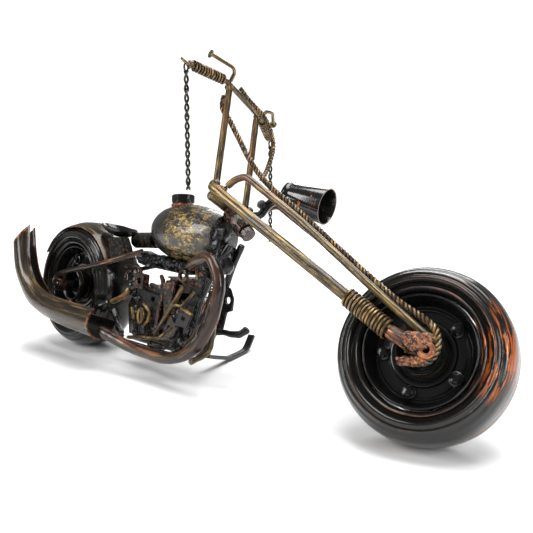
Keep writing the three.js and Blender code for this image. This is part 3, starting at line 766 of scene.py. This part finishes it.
def build_head():
    middle = on_head(11)
    yoke = Shape().tube([middle - V(0, 18, 0), middle + V(0, 18, 0)], 2.8, 20, 1.4, 0.03)
    yoke.on_fork("yoke", "gold", "fork_yoke")
    stem = Shape().tube([on_head(-11), on_head(8)], 2.0, 18, 1.4)
    stem.nut(on_head(-13), on_head(-9.6), 4.4, 0, 6, 0.3)
    stem.on_fork("stem", "copper", "steering_stem")
    stack = Shape()
    stack.nut(on_head(-9), on_head(-4.2), 5.3, 2.4, 6, 0.2)
    stack.nut(on_head(-4), on_head(0.9), 5.0, 2.4, 6, 0.7)
    stack.nut(on_head(1.1), on_head(7), 5.2, 2.4, 6, 0.1)
    stack.on_frame("head_nuts", "copper", "steering_head", noisy=0.15)


build_head()


# Handlebar
GRIP_ROOT = V(115, 22, 164.8)
GRIP_LENGTH = 25
GRIP_DROOP = {-1: -0.2, 1: 0}
RING_RADIUS = 2.9


def grip_point(distance, sign):
    p = GRIP_ROOT + V(-0.26, 0.96, GRIP_DROOP[sign]).normalized() * distance
    return V(p.x, sign * p.y, p.z)


def ring_centre(sign):
    return grip_point(GRIP_LENGTH + 1.4 + RING_RADIUS, sign)


def build_handlebar():
    """The crossbar with its two ends swept back, a ring at each tip for a chain."""
    end = GRIP_LENGTH + 1.6
    bar = Shape()
    line = bent([grip_point(end, -1), grip_point(0, -1), grip_point(0, 1), grip_point(end, 1)], 3)
    bar.tube(line, 1.55, 16, 1.2, 0.03, 0.1, 3)
    for sign in (-1, 1):
        slanted = Matrix.Rotation(0.5, 3, "Y") @ V(RING_RADIUS, 0, 0)
        loop = circle(ring_centre(sign), slanted, V(0, RING_RADIUS, 0), 32)
        bar.tube(loop, 0.68, 10, 0.5, 0.04, closed=True)
        bar.blob(grip_point(GRIP_LENGTH + 1.2, sign), (2.2, 1.6, 2.2), 4 + sign, 0.3)
        bar.blob(V(114.8, sign * 17.4, 163.6), (2.4, 2.6, 2.4), 8 + sign, 0.3)
    bar.on_fork("bar", "gold", "handlebar")


def build_controls(side, sign):
    start, end = grip_point(2.5, sign), grip_point(GRIP_LENGTH, sign)
    grip = coil(start, end, 2.35, 0.66, 12)
    grip.on_fork(f"grip_coil_{side}", "wound", f"grip_{side}")
    root, elbow, tip = V(117.6, sign * 20.6, 169.6), V(119.4, sign * 25, 171), V(113, sign * 39, 170.6)
    nail = Shape().tube(bent([root, elbow, tip], 3), 0.98, 12, 0.8, 0.04, 0.1, 7)
    out = (tip - elbow).normalized()
    nail.nut(tip, tip + out * 0.9, 2.3, 0, 14, 0, 0.15)
    nail.tube([V(116, sign * 19.8, 165.8), root + V(0, sign * 0.4, 0.4)], 1.1, 12, 0.8, 0.06)
    nail.on_fork(f"nail_{side}", "gold", f"lever_{side}")


build_handlebar()
for side, sign in SIDES:
    build_controls(side, sign)


# Brake cables
LONG_CABLE = [V(*p) for p in (
    (109.8, -13.4, 160.6), (111.2, -13, 153), (118, -12.4, 146), (128, -12.2, 135), (138.4, -12.2, 123.7),
    (149, -13, 114.6), (159, -14.2, 107.8), (178, -15.4, 97), (204.8, -17, 81), (226, -18.8, 68.4),
    (240, -19.6, 60.6), (250, -21, 56.4), (258.6, -22.4, 51.4), (261.2, -22.8, 44), (258.6, -23, 37.6),
    (252, -23, 35.4))]
SHORT_CABLE = [V(*p) for p in (
    (118.8, -13.4, 165.6), (122.6, -6, 161.6), (129, 3, 157), (134.6, 7, 148.4), (138, 7.8, 139),
    (139, 6, 126), (140.6, 1, 118))]

long_cable = rope(LONG_CABLE, 0.85, 0.8, 7.2)
long_cable.on_fork("cable_long", "wound", "brake_cable_long")
short_cable = rope(SHORT_CABLE, 0.72, 0.7, 6.0)
short_cable.on_fork("cable_short", "wound", "brake_cable_short")


# Headlamp
def build_headlamp():
    """A cup open to the front, held by a bent bar with a bolt through it."""
    where = towards(V(159, 0, 110.4), V(25, 0, -3.3).normalized())
    profile = [(0.2, 0), (6.6, 0), (7.6, 0.5), (8.0, 1.5), (8.1, 3.0), (7.7, 3.6), (7.8, 5), (8.1, 10),
               (9.55, 24.9), (9.5, 25.2), (9.0, 25.2), (8.8, 24.8), (6.5, 9), (5.8, 2.2), (0.2, 2)]
    cup = Shape().lathe(profile, where, 72, 0.3, 0.08)
    cup.on_fork("lamp_cup", "lamp", "headlamp_cup")
    route = [V(142.4, 0, 96.8), V(146.8, 0, 97.4), V(151.4, 0, 106.8), V(158.4, 0, 107.2)]
    arm = Shape().tube(bent(route, 4), 2.25, 16, 1.2, 0.08)
    arm.nut(V(147.6, -3.6, 103), V(147.6, -0.6, 103), 2.7, 0, 6, 0.4)
    arm.on_fork("lamp_arm", "lacquer", "headlamp_bracket")


build_headlamp()


# Frame tubes
def build_frame_side(side, sign):
    spread = sign * 8.5
    down = [V(135, sign * 4.4, 80), V(127.4, sign * 6.4, 68), V(119, spread, 47), V(115, spread, 24),
            V(102, spread, 12.4), V(42, spread, 12.4)]
    tube = Shape().tube(bent(down, 8), 2.05, 18, 1.6, 0.03)
    tube.on_frame(f"cradle_{side}", "lacquer", f"down_tube_{side}")
    rod = [V(68, sign * 10.4, 69.8), V(52, sign * 21.8, 61.4), V(1, sign * 22.4, 48.6),
           V(-5.4, sign * 22.6, 46), V(-4.6, sign * 22.8, 43.6)]
    strut = Shape().tube(bent(rod, 4), 1.6, 14, 1.4, 0.06, 0.07, 3)
    strut.blob(V(-4.4, sign * 23.4, 42.6), (2.6, 2, 2.8), 5, 0.5)
    strut.on_frame(f"strut_{side}", "copper", f"rear_strut_{side}")


def build_spine():
    """The backbone tube with its open cut end, and the welded mass under the tank."""
    where = towards(V(47, 0, 75), V(19.5, 0, 1.5))
    profile = [(4.9, 0.3), (4.9, 19), (4, 19), (4, 0.2), (4.4, 0)]
    tube = Shape().lathe(profile, where, 48, 0.5, 0.25)
    tube.on_frame("backbone", "lacquer", "backbone_tube")
    mass = Shape()
    outline = [(58, 69.4), (70, 66.6), (120, 66), (126.4, 72), (128.4, 79), (132, 78), (128, 67),
               (121.5, 61.6), (100, 59.4), (62, 60.4)]
    mass.prism(outline, in_side(3.6), 7.2)
    for i in range(15):
        x = 60 + i * 4.4
        lift = noise.noise(V(i * 1.7, 0, 0)) * 1.6
        mass.blob(V(x, -2.6 + lift, 64.6 + lift * 0.6), (4.4, 4.6, 3.6), i, 0.4)
    for i, (x, y, z) in enumerate(((127, -5, 84), (127, -5, 79), (129, -4, 73), (131, -3.4, 68))):
        mass.blob(V(x, y, z), (4.6, 5.2, 4.8), i + 40, 0.25)
    mass.on_frame("spine_weld", "scrap", "frame_spine", noisy=0.3)


for side, sign in SIDES:
    build_frame_side(side, sign)
build_spine()


# Sheets
def sheet(outer, inner, marks=None, rub=None):
    """One closed skin over two matching grids of points."""
    n, m = len(outer), len(outer[0])
    off = n * m
    faces = []
    for i in range(n - 1):
        for j in range(m - 1):
            a = i * m + j
            faces.append((a, a + 1, a + m + 1, a + m))
            faces.append((off + a, off + a + m, off + a + m + 1, off + a + 1))
    rim = [j for j in range(m - 1)] + [i * m + m - 1 for i in range(n - 1)]
    rim += [(n - 1) * m + j for j in range(m - 1, 0, -1)] + [i * m for i in range(n - 1, 0, -1)]
    faces += [(a, b, off + b, off + a) for a, b in zip(rim, rim[1:] + rim[:1])]
    return Shape().shell([p for row in (*outer, *inner) for p in row], faces, marks, rub)


def ribbon(rows, thick, along, across):
    """A sheet thickened inwards from rows of points, whose inner side stores rub: the bronze finish paints
    that side black as painted shade.

    along and across scale the grain, so brush marks run the way of the smaller one.
    """
    n, m = len(rows), len(rows[0])
    marks = [V(i * along, 0, j * across) for i in range(n) for j in range(m)]
    inside = []
    for i in range(n):
        line = []
        for j in range(m):
            du = rows[min(i + 1, n - 1)][j] - rows[max(i - 1, 0)][j]
            dv = rows[i][min(j + 1, m - 1)] - rows[i][max(j - 1, 0)]
            line.append(rows[i][j] + du.cross(dv).normalized() * thick)
        inside.append(line)
    return sheet(rows, inside, marks * 2, [0.0] * (n * m) + [1.0] * (n * m))


# Tank, cap, seat
def build_tank():
    """An egg cut off flat at its front, with a hex nut on a flange for its cap."""
    length, widest, steps = 58.4, 16.6, 48
    profile = [(0.05, 0)]
    for i in range(1, steps + 1):
        t = i / steps
        swell = math.sin(math.pi * t ** 0.72 * 0.8) ** 0.62
        profile.append((widest * swell, length * t))
    end = profile[-1][0]
    profile += [(end - 0.6, length + 0.3), (0.05, length + 0.3)]
    where = Matrix.Translation(V(66.6, 0, 83.2)) @ Matrix.Rotation(math.pi / 2, 4, "Y")
    where = where @ Matrix.Diagonal(V(1, 0.94, 1)).to_4x4()
    tank = Shape().lathe(profile, where, 96, 1.8, 0.3)
    tank.on_frame("tank", "tank", "fuel_tank", noisy=0.12)
    cap = Shape().nut(V(88, 0, 100.2), V(87.4, 0, 105.0), 6.8, 2.6, 6, 0.35, 0.1)
    cap.blob(V(87.6, 0, 102.6), (3.2, 3.2, 1.6), 2, 0.1)
    cap.on_frame("cap_nut", "lacquer", "fuel_cap")
    seat = Shape().nut(V(88.2, 0, 97.6), V(88.0, 0, 100.0), 6.9, 0, 6, 0.4, 0.14)
    seat.on_frame("cap_flange", "weld")


def build_seat():
    """A shallow oval spoon, a little higher at its back: a square grid rounded off."""
    middle, half_length, half_width = V(35.4, -5.4, 76.2), 15.2, 8.6
    across, deep = 26, 18
    top = []
    for i in range(across + 1):
        u = i / across * 2 - 1
        row = []
        for j in range(deep + 1):
            v = j / deep * 2 - 1
            round_x, round_y = u * math.sqrt(1 - v * v / 2), v * math.sqrt(1 - u * u / 2)
            p = middle + V(round_x * half_length, round_y * half_width, 0)
            dent = 0.35 * noise.noise(V(p.x, p.y, 0) * 0.12)
            row.append(p + V(0, 0, 4.6 * math.hypot(round_x, round_y) ** 3 - 1.6 * round_x + dent))
        top.append(row)
    seat = sheet(top, [[p + V(0, 0, 1.1) for p in row] for row in top])
    seat.on_frame("seat", "lacquer", "seat_pan")
    bracket = [(36.4, 75.2), (50.4, 76.4), (54.4, 71), (57, 63.4), (41, 61.6)]
    post = Shape().prism(bracket, in_side(-8.4), 6.0)
    post.on_frame("seat_post", "lacquer", "seat_bracket")


build_tank()
build_seat()


# Fender and muffler
def build_fender():
    """A crowned sheet over the rear wheel whose front edge is cut at a slant."""
    centre = V(1.1, 0, 38.9)
    edge, crown = 40.6, 3.3
    right, left = -14.5, 12.5
    back, front_right, front_left = math.radians(150), math.radians(27), math.radians(93)
    rows = []
    for j in range(25):
        share = j / 24
        across = right + (left - right) * share
        front = front_right + (front_left - front_right) * share
        line = []
        for i in range(61):
            a = back + (front - back) * i / 60
            dent = 0.35 * noise.noise(V(a * 5, across * 0.15, 0))
            r = edge + crown * (1 - abs(across / right) ** 2.2) + dent
            line.append(centre + V(r * math.cos(a), across, r * math.sin(a)))
        rows.append(line)
    # Its underside, towards the wheel, is painted black as shade.
    skin = ribbon(rows, 0.8, 0.8, 0.1)
    skin.on_frame("fender", "bronze", "rear_fender")


MUFFLER_PATH = [V(*p) for p in ((57, -28, 25.4), (30, -29.6, 26.6), (8, -30.4, 28.6), (-9, -31, 33.2),
                                (-21.6, -31.4, 43.6), (-29, -31.6, 58), (-34.4, -31.8, 84))]
MUFFLER_START, MUFFLER_WRAP, MUFFLER_TWIST = 177, 240, 24
MUFFLER_RADIUS = 10.4
CUT_THROUGH, CUT_FACING = V(-28, -26, 80), V(-0.75, -0.6, 0.83).normalized()


def build_muffler():
    """A half pipe that narrows and turns outwards, cut off by a slanted plane."""
    line = even(catmull(MUFFLER_PATH), 1.5)
    count = len(line) - 1
    around = 44
    rows = []
    for j in range(around + 1):
        row = []
        for i, middle in enumerate(line):
            t = i / count
            turned = max(0, t - 0.4) / 0.6
            a = math.radians(MUFFLER_START + MUFFLER_WRAP * j / around + MUFFLER_TWIST * turned)
            ahead = line[min(i + 1, count)] - line[max(i - 1, 0)]
            lift = V(ahead.x, 0, ahead.z).normalized().cross(V(0, -1, 0))
            r = MUFFLER_RADIUS * (1 - 0.2 * math.sqrt(t)) + 0.35 * noise.noise(V(t * 9, a * 1.2, 0))
            row.append(middle - V(0, math.cos(a) * r, 0) + lift * math.sin(a) * r)
        rows.append(row)
    for row in rows:
        for i, p in enumerate(row):
            over = (p - CUT_THROUGH).dot(CUT_FACING)
            if over <= 0:
                continue
            back = row[i - 1] - p
            if back.length > 1e-6:
                p = p + back * min(1.0, over / max(1e-6, -back.dot(CUT_FACING)))
            on_cut = back.length > 1e-6 and (p - CUT_THROUGH).dot(CUT_FACING) < 0.01
            row[i] = p if on_cut else row[i - 1].copy()
    # Its inner side is painted black as shade.
    skin = ribbon([list(r) for r in zip(*rows)], 1.2, 0.1, 0.8)
    skin.on_frame("muffler_skin", "bronze", "muffler")


build_fender()
build_muffler()


# Exhaust header
HEADER = [V(117, -15, 66), V(128, -19, 70.4), V(138, -20.4, 73), V(147, -21, 62), V(145, -21, 42),
          V(133, -21, 22), V(112, -21, 13.6), V(78, -22.4, 14.4), V(56, -28, 20.6)]


def build_header():
    """The copper pipe from the cylinder round to the muffler, and the hooks that hold it."""
    pipe = Shape().tube(bent(HEADER, 10), 3.25, 24, 1.6, 0.03, 0.07, 2)
    pipe.on_frame("header", "header", "header_pipe")
    upper = [V(56, -20, 33), V(61, -20.6, 29), V(63, -20, 22), V(61, -15, 17.4)]
    lower = [V(50, -19, 32.6), V(56, -20, 31.6), V(62, -20.4, 26.6), V(68, -20, 20.4)]
    hook = Shape().tube(bent(upper, 5), 1.5, 12, 1, 0.1)
    hook.blob(V(46, -20.4, 33.6), (5.2, 3.4, 3.8), 3, 0.3)
    hook.tube(bent(lower, 4), 1.3, 10, 1, 0.1)
    hook.on_frame("hook", "scrap", "muffler_hook")


build_header()


# Controls and stand
def build_controls_and_stand():
    """The plate, pedal and foot peg ahead of the engine, and the flat bar of the side stand."""
    outline = [(124.8, 56), (128.4, 55.4), (131.6, 50), (131.6, 43), (127.4, 41.6), (125.4, 31.6),
               (120.6, 31.6), (122.4, 42), (124.8, 46)]
    post = Shape().prism(outline, in_side(6.4), 2.2, (128, 48.6, 2.0))
    post.on_frame("control_post", "scrap", "control_plate")
    pedal = Shape().tube(bent([V(118, 5.4, 29), V(124, 9, 29.6), V(132, 12.6, 29), V(136, 14.4, 33.6)], 4),
                         lambda t: 1.7 + 0.5 * t, 12, 1, 0.12)
    pedal.on_frame("pedal", "scrap", "foot_pedal")
    route = [V(138.4, -14.2, 45), V(137.4, -14.2, 22.4), V(136.4, -27, 17.6)]
    peg = Shape().tube(bent(route, 5), 1.65, 12, 1, 0.08)
    peg.on_frame("peg", "gold", "foot_peg")

    low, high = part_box("stand_foot")
    heading = math.radians(104)
    top, middle = high.z / MM, (low + high) / 2 / MM
    run = V(math.cos(heading), math.sin(heading), 0)
    root = middle - run * 27
    root.z = 0
    stations = ((0.6, 9.2), (5, 7.6), (26, 1.25), (45, 1.25), (53, top - 0.9))
    line = [root + run * d + V(0, 0, z) for d, z in stations]
    corners = [(2.3, 0.8), (2.0, 1.15), (-2.0, 1.15), (-2.3, 0.8)]
    corners += [(-a, -b) for a, b in corners]
    rings = []
    curve = even(bent(line, 4), 1.2)
    side = V(-run.y, run.x, 0)
    for p, (t, _, _) in zip(curve, carried_frames(curve)):
        up = t.cross(side).normalized()
        up = up if up.z > 0 else -up
        rings.append([p + side * a + up * b for a, b in corners])
    bar = Shape().rings(rings, rings)
    for lift, seed in ((0.6, 1), (2.4, 2), (4.0, 3)):
        bar.blob(line[0] + V(0, 0, lift), (2.6, 2.2, 1.9), seed, 0.4, 2)
    bar.make("stand_bar", "frame", "scrap", PARKED, "stand_foot")


build_controls_and_stand()


# Engine
def plate(outline, y, thick, hole=None):
    """A flat plate whose outline is in the machine's X and Z."""
    return Shape().prism(outline, in_side(y), thick, hole)


def oblong(back, front, half_width):
    return [(back, -half_width), (front, -half_width), (front, half_width), (back, half_width)]


def build_engine():
    """The pieces of the engine that CAD also has."""
    outline = [(60, 19), (98, 17.6), (109, 26), (110.6, 44), (99, 49.4), (64, 49.4), (57, 36)]
    case = plate(outline, 9.9, 19.8)
    for i in range(16):
        a = i * 2.4
        case.blob(V(84 + 20 * math.cos(a), -9.4, 33 + 13 * math.sin(a * 1.3)), (3.4, 1.6, 2.6), i, 0.5, 2)
    case.on_frame("engine_case", "scrap", "crankcase")
    barrel = Shape()
    for i in range(5):
        fin = oblong(94.6, 108.6, 12.2 if i % 2 == 0 else 11)
        barrel.prism(fin, Matrix.Translation(V(0, 0, 49.9 + i * 1.7)), 1.25)
    barrel.prism(oblong(95.4, 107.6, 10.8), Matrix.Translation(V(0, 0, 49.8)), 8.2)
    barrel.on_frame("barrel", "scrap", "cylinder_block")
    outline = [(67, 47.6), (92, 45.6), (97, 38), (95, 30), (88, 29), (84, 33), (68, 34)]
    side = plate(outline, -10.3, 1.7, (83, 43, 1.5))
    side.on_frame("side_plate", "scrap", "engine_side_plate")
    block = Shape().nut(V(74.6, -12.6, 52.6), V(74.6, -17, 52.6), 6.1, 1.9, 4, 0.75, 0.06)
    block.on_frame("square_nut", "copper", "engine_nut_block")
    strap = plate([(89, 57.6), (91.4, 58.6), (94, 55.6), (94.6, 48), (92.8, 38), (91.6, 27.4), (88.6, 27),
                   (89.4, 38), (91.4, 48), (91, 54)], -12.7, 1.4)
    strap.on_frame("strap", "copper", "engine_strap")
    rod = Shape().tube([V(114.6, -16.8, 54.6), V(93.4, -16.8, 24.6)], 1.3, 14, 1, 0.06)
    rod.tube(bent([V(104.6, -17.6, 39.6), V(107, -18, 42.4), V(110.4, -17.6, 43.8), V(115, -17.4, 43.2),
                   V(123.6, -16.6, 53)], 2), 0.85, 10, 0.8, 0.1)
    rod.on_frame("push_rods", "gold", "push_rod")
    eye = Shape().nut(V(108.9, -14, 59.8), V(108.9, -11.8, 59.8), 3.7, 1.9, 20)
    eye.tube([V(110.4, -13, 57), V(112.1, -12.4, 54.8)], 1.0, 10, 0.8, 0.1)
    eye.on_frame("eyelet", "copper", "engine_eyelet")
    disc = Shape().nut(V(74.6, -13, 24), V(74.6, -14.8, 24), 6.4, 1.6, 26)
    disc.on_frame("disc", "scrap", "timing_disc")


def build_engine_scraps():
    """Small scraps welded to both sides of the engine. Those on the left, called far, are guessed."""
    wires = (
        ("copper", 1.3, [(56.8, -14, 59.3), (69.3, -14, 61.1), (72.4, -14, 56.2)]),
        ("copper", 0.9, [(58.5, -14, 51), (58, -14, 56), (63.6, -14, 57)]),
        ("gold", 1.7, [(48.6, -16, 36.3), (61.6, -16, 42.0), (63.4, -15, 47.0)]),
        ("gold", 0.9, [(69.3, -16, 36.3), (70.6, -16, 33), (72.2, -16, 29.6)]),
        ("gold", 0.9,
         [(80, -16, 40), (84, -16.4, 38.4), (86.4, -16, 35.6), (85.6, -16, 31), (82, -16, 27.4)]),
        ("gold", 1.1,
         [(69, -17, 18.4), (90.9, -17, 21.6), (98.3, -17.6, 22.6), (105, -18, 27.9), (109, -18, 31)]),
        ("copper", 1.2, [(90.2, -18, 20), (91.7, -18, 16.9), (105.3, -17.8, 18.9)]),
        ("copper", 1.1,
         [(134.9, -15, 54.8), (131.4, -15.4, 44.1), (124.4, -15.4, 28.5), (117, -15.4, 21.6)]),
        ("copper", 1.0, [(119.3, -14, 69.4), (120.6, -13, 62)]),
        ("copper", 1.3, [(82.4, -13.6, 51.4), (90, -15.6, 51.2)]),
        ("gold", 1.0, [(114, -17, 43), (118.6, -17, 41.6), (123.6, -17, 40.4)]),
    )
    for i, (finish, radius, points) in enumerate(wires):
        wire = Shape().tube(bent([V(*p) for p in points], 2.4), radius, 10, 0.8, 0.12, 0.2, i)
        wire.on_frame(f"scrap_wire_{i}", finish)
    oval = circle(V(78.4, -16.2, 32.4), V(2.4, 0, 0), V(0, 0, 4.4), 32)
    ring = Shape().tube(oval, 0.9, 10, 0.6, 0.12, closed=True)
    ring.tube([V(78.4, -15.6, 36), V(78.6, -15.6, 29)], 0.8, 8, 0.8, 0.1)
    ring.on_frame("oval_ring", "gold")
    plates = (
        ("scrap", -15.2, 1.2, [(111.9, 40.4), (122.7, 39.9), (119.5, 32), (108.6, 31.5)], (116, 37, 1.3)),
        ("scrap", -11.4, 1.4, [(117.9, 63), (125.4, 64.6), (126.5, 57.1), (119, 55.5)], None),
        ("scrap", -11.0, 1.4, [(115.7, 55.7), (124.2, 54.7), (119.1, 44), (112.2, 43.2)], (117.6, 51, 0.9)),
        ("copper", -17.2, 1.0,
         [(100.4, 22.6), (103.6, 27.6), (108, 31.2), (114.3, 31.9), (111.6, 27), (106, 23.4)], None),
        ("copper", -11.6, 1.0, [(93.7, 53.6), (104.7, 55.6), (104.7, 57.2), (93.7, 55.4)], None),
        ("scrap", -13.2, 1.4, [(94, 54), (104.4, 56), (103, 44), (97, 36), (95.4, 44)], None),
        ("scrap", -14.6, 1.2, [(98, 34), (104, 38), (112, 30), (108, 22), (101, 24)], (104, 30, 1.1)),
    )
    far_plates = (
        ("scrap", 12.6, 1.6, [(62, 24), (62, 44), (78, 47), (84, 36), (78, 24)], (71, 35, 2.6)),
        ("copper", 14.0, 1.2, [(80, 28), (82, 45), (86, 46), (88, 38), (86, 26)], None),
        ("scrap", 12.8, 1.4, [(92, 24), (90, 44), (104, 47), (108, 34), (102, 24)], (98, 40, 1.6)),
        ("scrap", 14.8, 1.2, [(66, 27), (69, 31), (76, 30), (76, 26), (70, 22.6)], None),
    )
    for kind, pieces in (("scrap", plates), ("far", far_plates)):
        for i, (finish, y, thick, outline, hole) in enumerate(pieces):
            plate(outline, y, thick, hole).on_frame(f"{kind}_plate_{i}", finish)
    far = Shape()
    far.nut(V(71, 12.4, 35), V(71, 15.6, 35), 4.6, 1.9, 6, 0.3)
    far.nut(V(98, 12.4, 30), V(98, 14.8, 30), 3.8, 1.5, 6, 0.1)
    far.on_frame("far_nuts", "copper", noisy=0.1)
    upright = [V(88, 14.6, 22), V(90, 15.4, 34), V(98, 15.2, 47), V(101, 13.4, 56)]
    far_rods = Shape().tube(bent(upright, 3), 1.1, 12)
    far_rods.tube(bent([V(60, 14.2, 48), V(72, 14.8, 50), V(88, 14.6, 48.6)], 3), 1.0, 12)
    far_rods.on_frame("far_rods", "gold")
    lumps = Shape()
    left = ((60, 28), (66, 48), (80, 48), (92, 47), (106, 44), (108, 28), (88, 22), (74, 20))
    right = ((62, 50), (64, 44), (70, 41), (88, 25), (98, 27), (113, 25), (106, 20), (121, 50), (124, 60),
             (118, 34), (66, 56))
    for y, half_width, first_seed, places in ((10.8, 1.8, 60, left), (-11.4, 2.4, 20, right)):
        for seed, (x, z) in enumerate(places, first_seed):
            lumps.blob(V(x, y, z), (3.0, half_width, 2.6), seed, 0.6)
    lumps.on_frame("engine_lumps", "scrap", noisy=0.3)


build_engine()
build_engine_scraps()


# Chains
def build_chain(side):
    """Two wires twisted into a row of long links, hung from the bar's ring by one round link."""
    low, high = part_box(f"chain_{side}")
    middle = (low + high) / 2 / MM
    top, bottom = V(middle.x, middle.y, high.z / MM), V(middle.x, middle.y, low.z / MM)
    chain = rope([top, top.lerp(bottom, 0.5), bottom], 0.84, 0.62, 9.6, 2, 0.5)
    for i in range(9):
        chain.blob(top.lerp(bottom, (i + 0.4) / 9), (0.75, 0.75, 0.6), i, 0.2, 2)
    link = circle(top + V(0, 0, 1.5), V(0, 1.3, 0), V(0, 0, 2), 24)
    chain.tube(link, 0.5, 8, 0.5, 0.05, closed=True)
    chain.make(f"chain_wires_{side}", f"chain_{side}", "chain", PARKED, f"chain_{side}")


for side, _ in SIDES:
    build_chain(side)


# Studio
def build_studio():
    bpy.ops.mesh.primitive_plane_add(size=2.0)
    floor = bpy.context.object
    floor.name = "floor"
    material = bpy.data.materials.new("floor_paper")
    material.use_nodes = True
    tree = material.node_tree
    cloud = add_node(tree, "ShaderNodeTexNoise", {"Scale": 3})
    greys = {"Factor": cloud.outputs["Fac"], "A": (0.86, 0.86, 0.86, 1), "B": (0.9, 0.9, 0.9, 1)}
    mix = add_node(tree, "ShaderNodeMix", greys, data_type="RGBA")
    feed(tree, tree.nodes["Principled BSDF"], {"Base Color": mix.outputs["Result"], "Roughness": 0.75,
                                               "Specular IOR Level": 0.15})
    floor.data.materials.append(material)

    def softbox(name, place, target, size, power):
        light = bpy.data.lights.new(name, "AREA")
        light.shape = "RECTANGLE"
        light.size, light.size_y = size
        light.energy = power
        lamp = bpy.data.objects.new(name, light)
        lamp.location = place
        lamp.rotation_euler = (Vector(target) - Vector(place)).to_track_quat("-Z", "Y").to_euler()
        bpy.context.scene.collection.objects.link(lamp)

    softbox("overhead", (0.1, 0.15, 1.3), (0, 0, 0), (1.1, 0.8), 25)
    softbox("left_front", (-0.6, -1.1, 0.7), (0, 0, 0.08), (0.32, 0.9), 12)
    softbox("right_front", (1.2, -0.2, 0.55), (0, 0, 0.08), (0.25, 0.8), 9)
    softbox("rear_edge", (-0.5, 1.1, 0.8), (0, 0, 0.1), (0.9, 0.5), 10)

    world = bpy.data.worlds.new("studio_white")
    bpy.context.scene.world = world
    world.use_nodes = True
    tree = world.node_tree
    white = (1, 1, 1, 1)
    lit = feed(tree, tree.nodes["Background"], {"Color": white, "Strength": 0.26})
    seen = add_node(tree, "ShaderNodeBackground", {"Color": white, "Strength": 1.2})
    to_camera = add_node(tree, "ShaderNodeLightPath", {}).outputs["Is Camera Ray"]
    chosen = add_node(tree, "ShaderNodeMixShader", {0: to_camera, 1: lit.outputs[0], 2: seen.outputs[0]})
    feed(tree, tree.nodes["World Output"], {"Surface": chosen.outputs[0]})


def build_camera():
    """Ahead of the machine and to its right, a little above it."""
    azimuth, elevation = math.radians(42.97), math.radians(9.44)  # where it looks from
    back = Vector((math.sin(azimuth) * math.cos(elevation), -math.cos(azimuth) * math.cos(elevation),
                   math.sin(elevation)))
    data = bpy.data.cameras.new("camera")
    data.sensor_width = 36
    data.lens = 47.28
    data.clip_start = 0.01
    camera = bpy.data.objects.new("camera", data)
    camera.location = (0.2785, -0.2781, 0.1296)
    camera.rotation_mode = "QUATERNION"
    camera.rotation_quaternion = (-back).to_track_quat("-Z", "Y")
    bpy.context.scene.collection.objects.link(camera)
    bpy.context.scene.camera = camera


build_studio()
build_camera()
bpy.context.scene.view_settings.view_transform = "Standard"
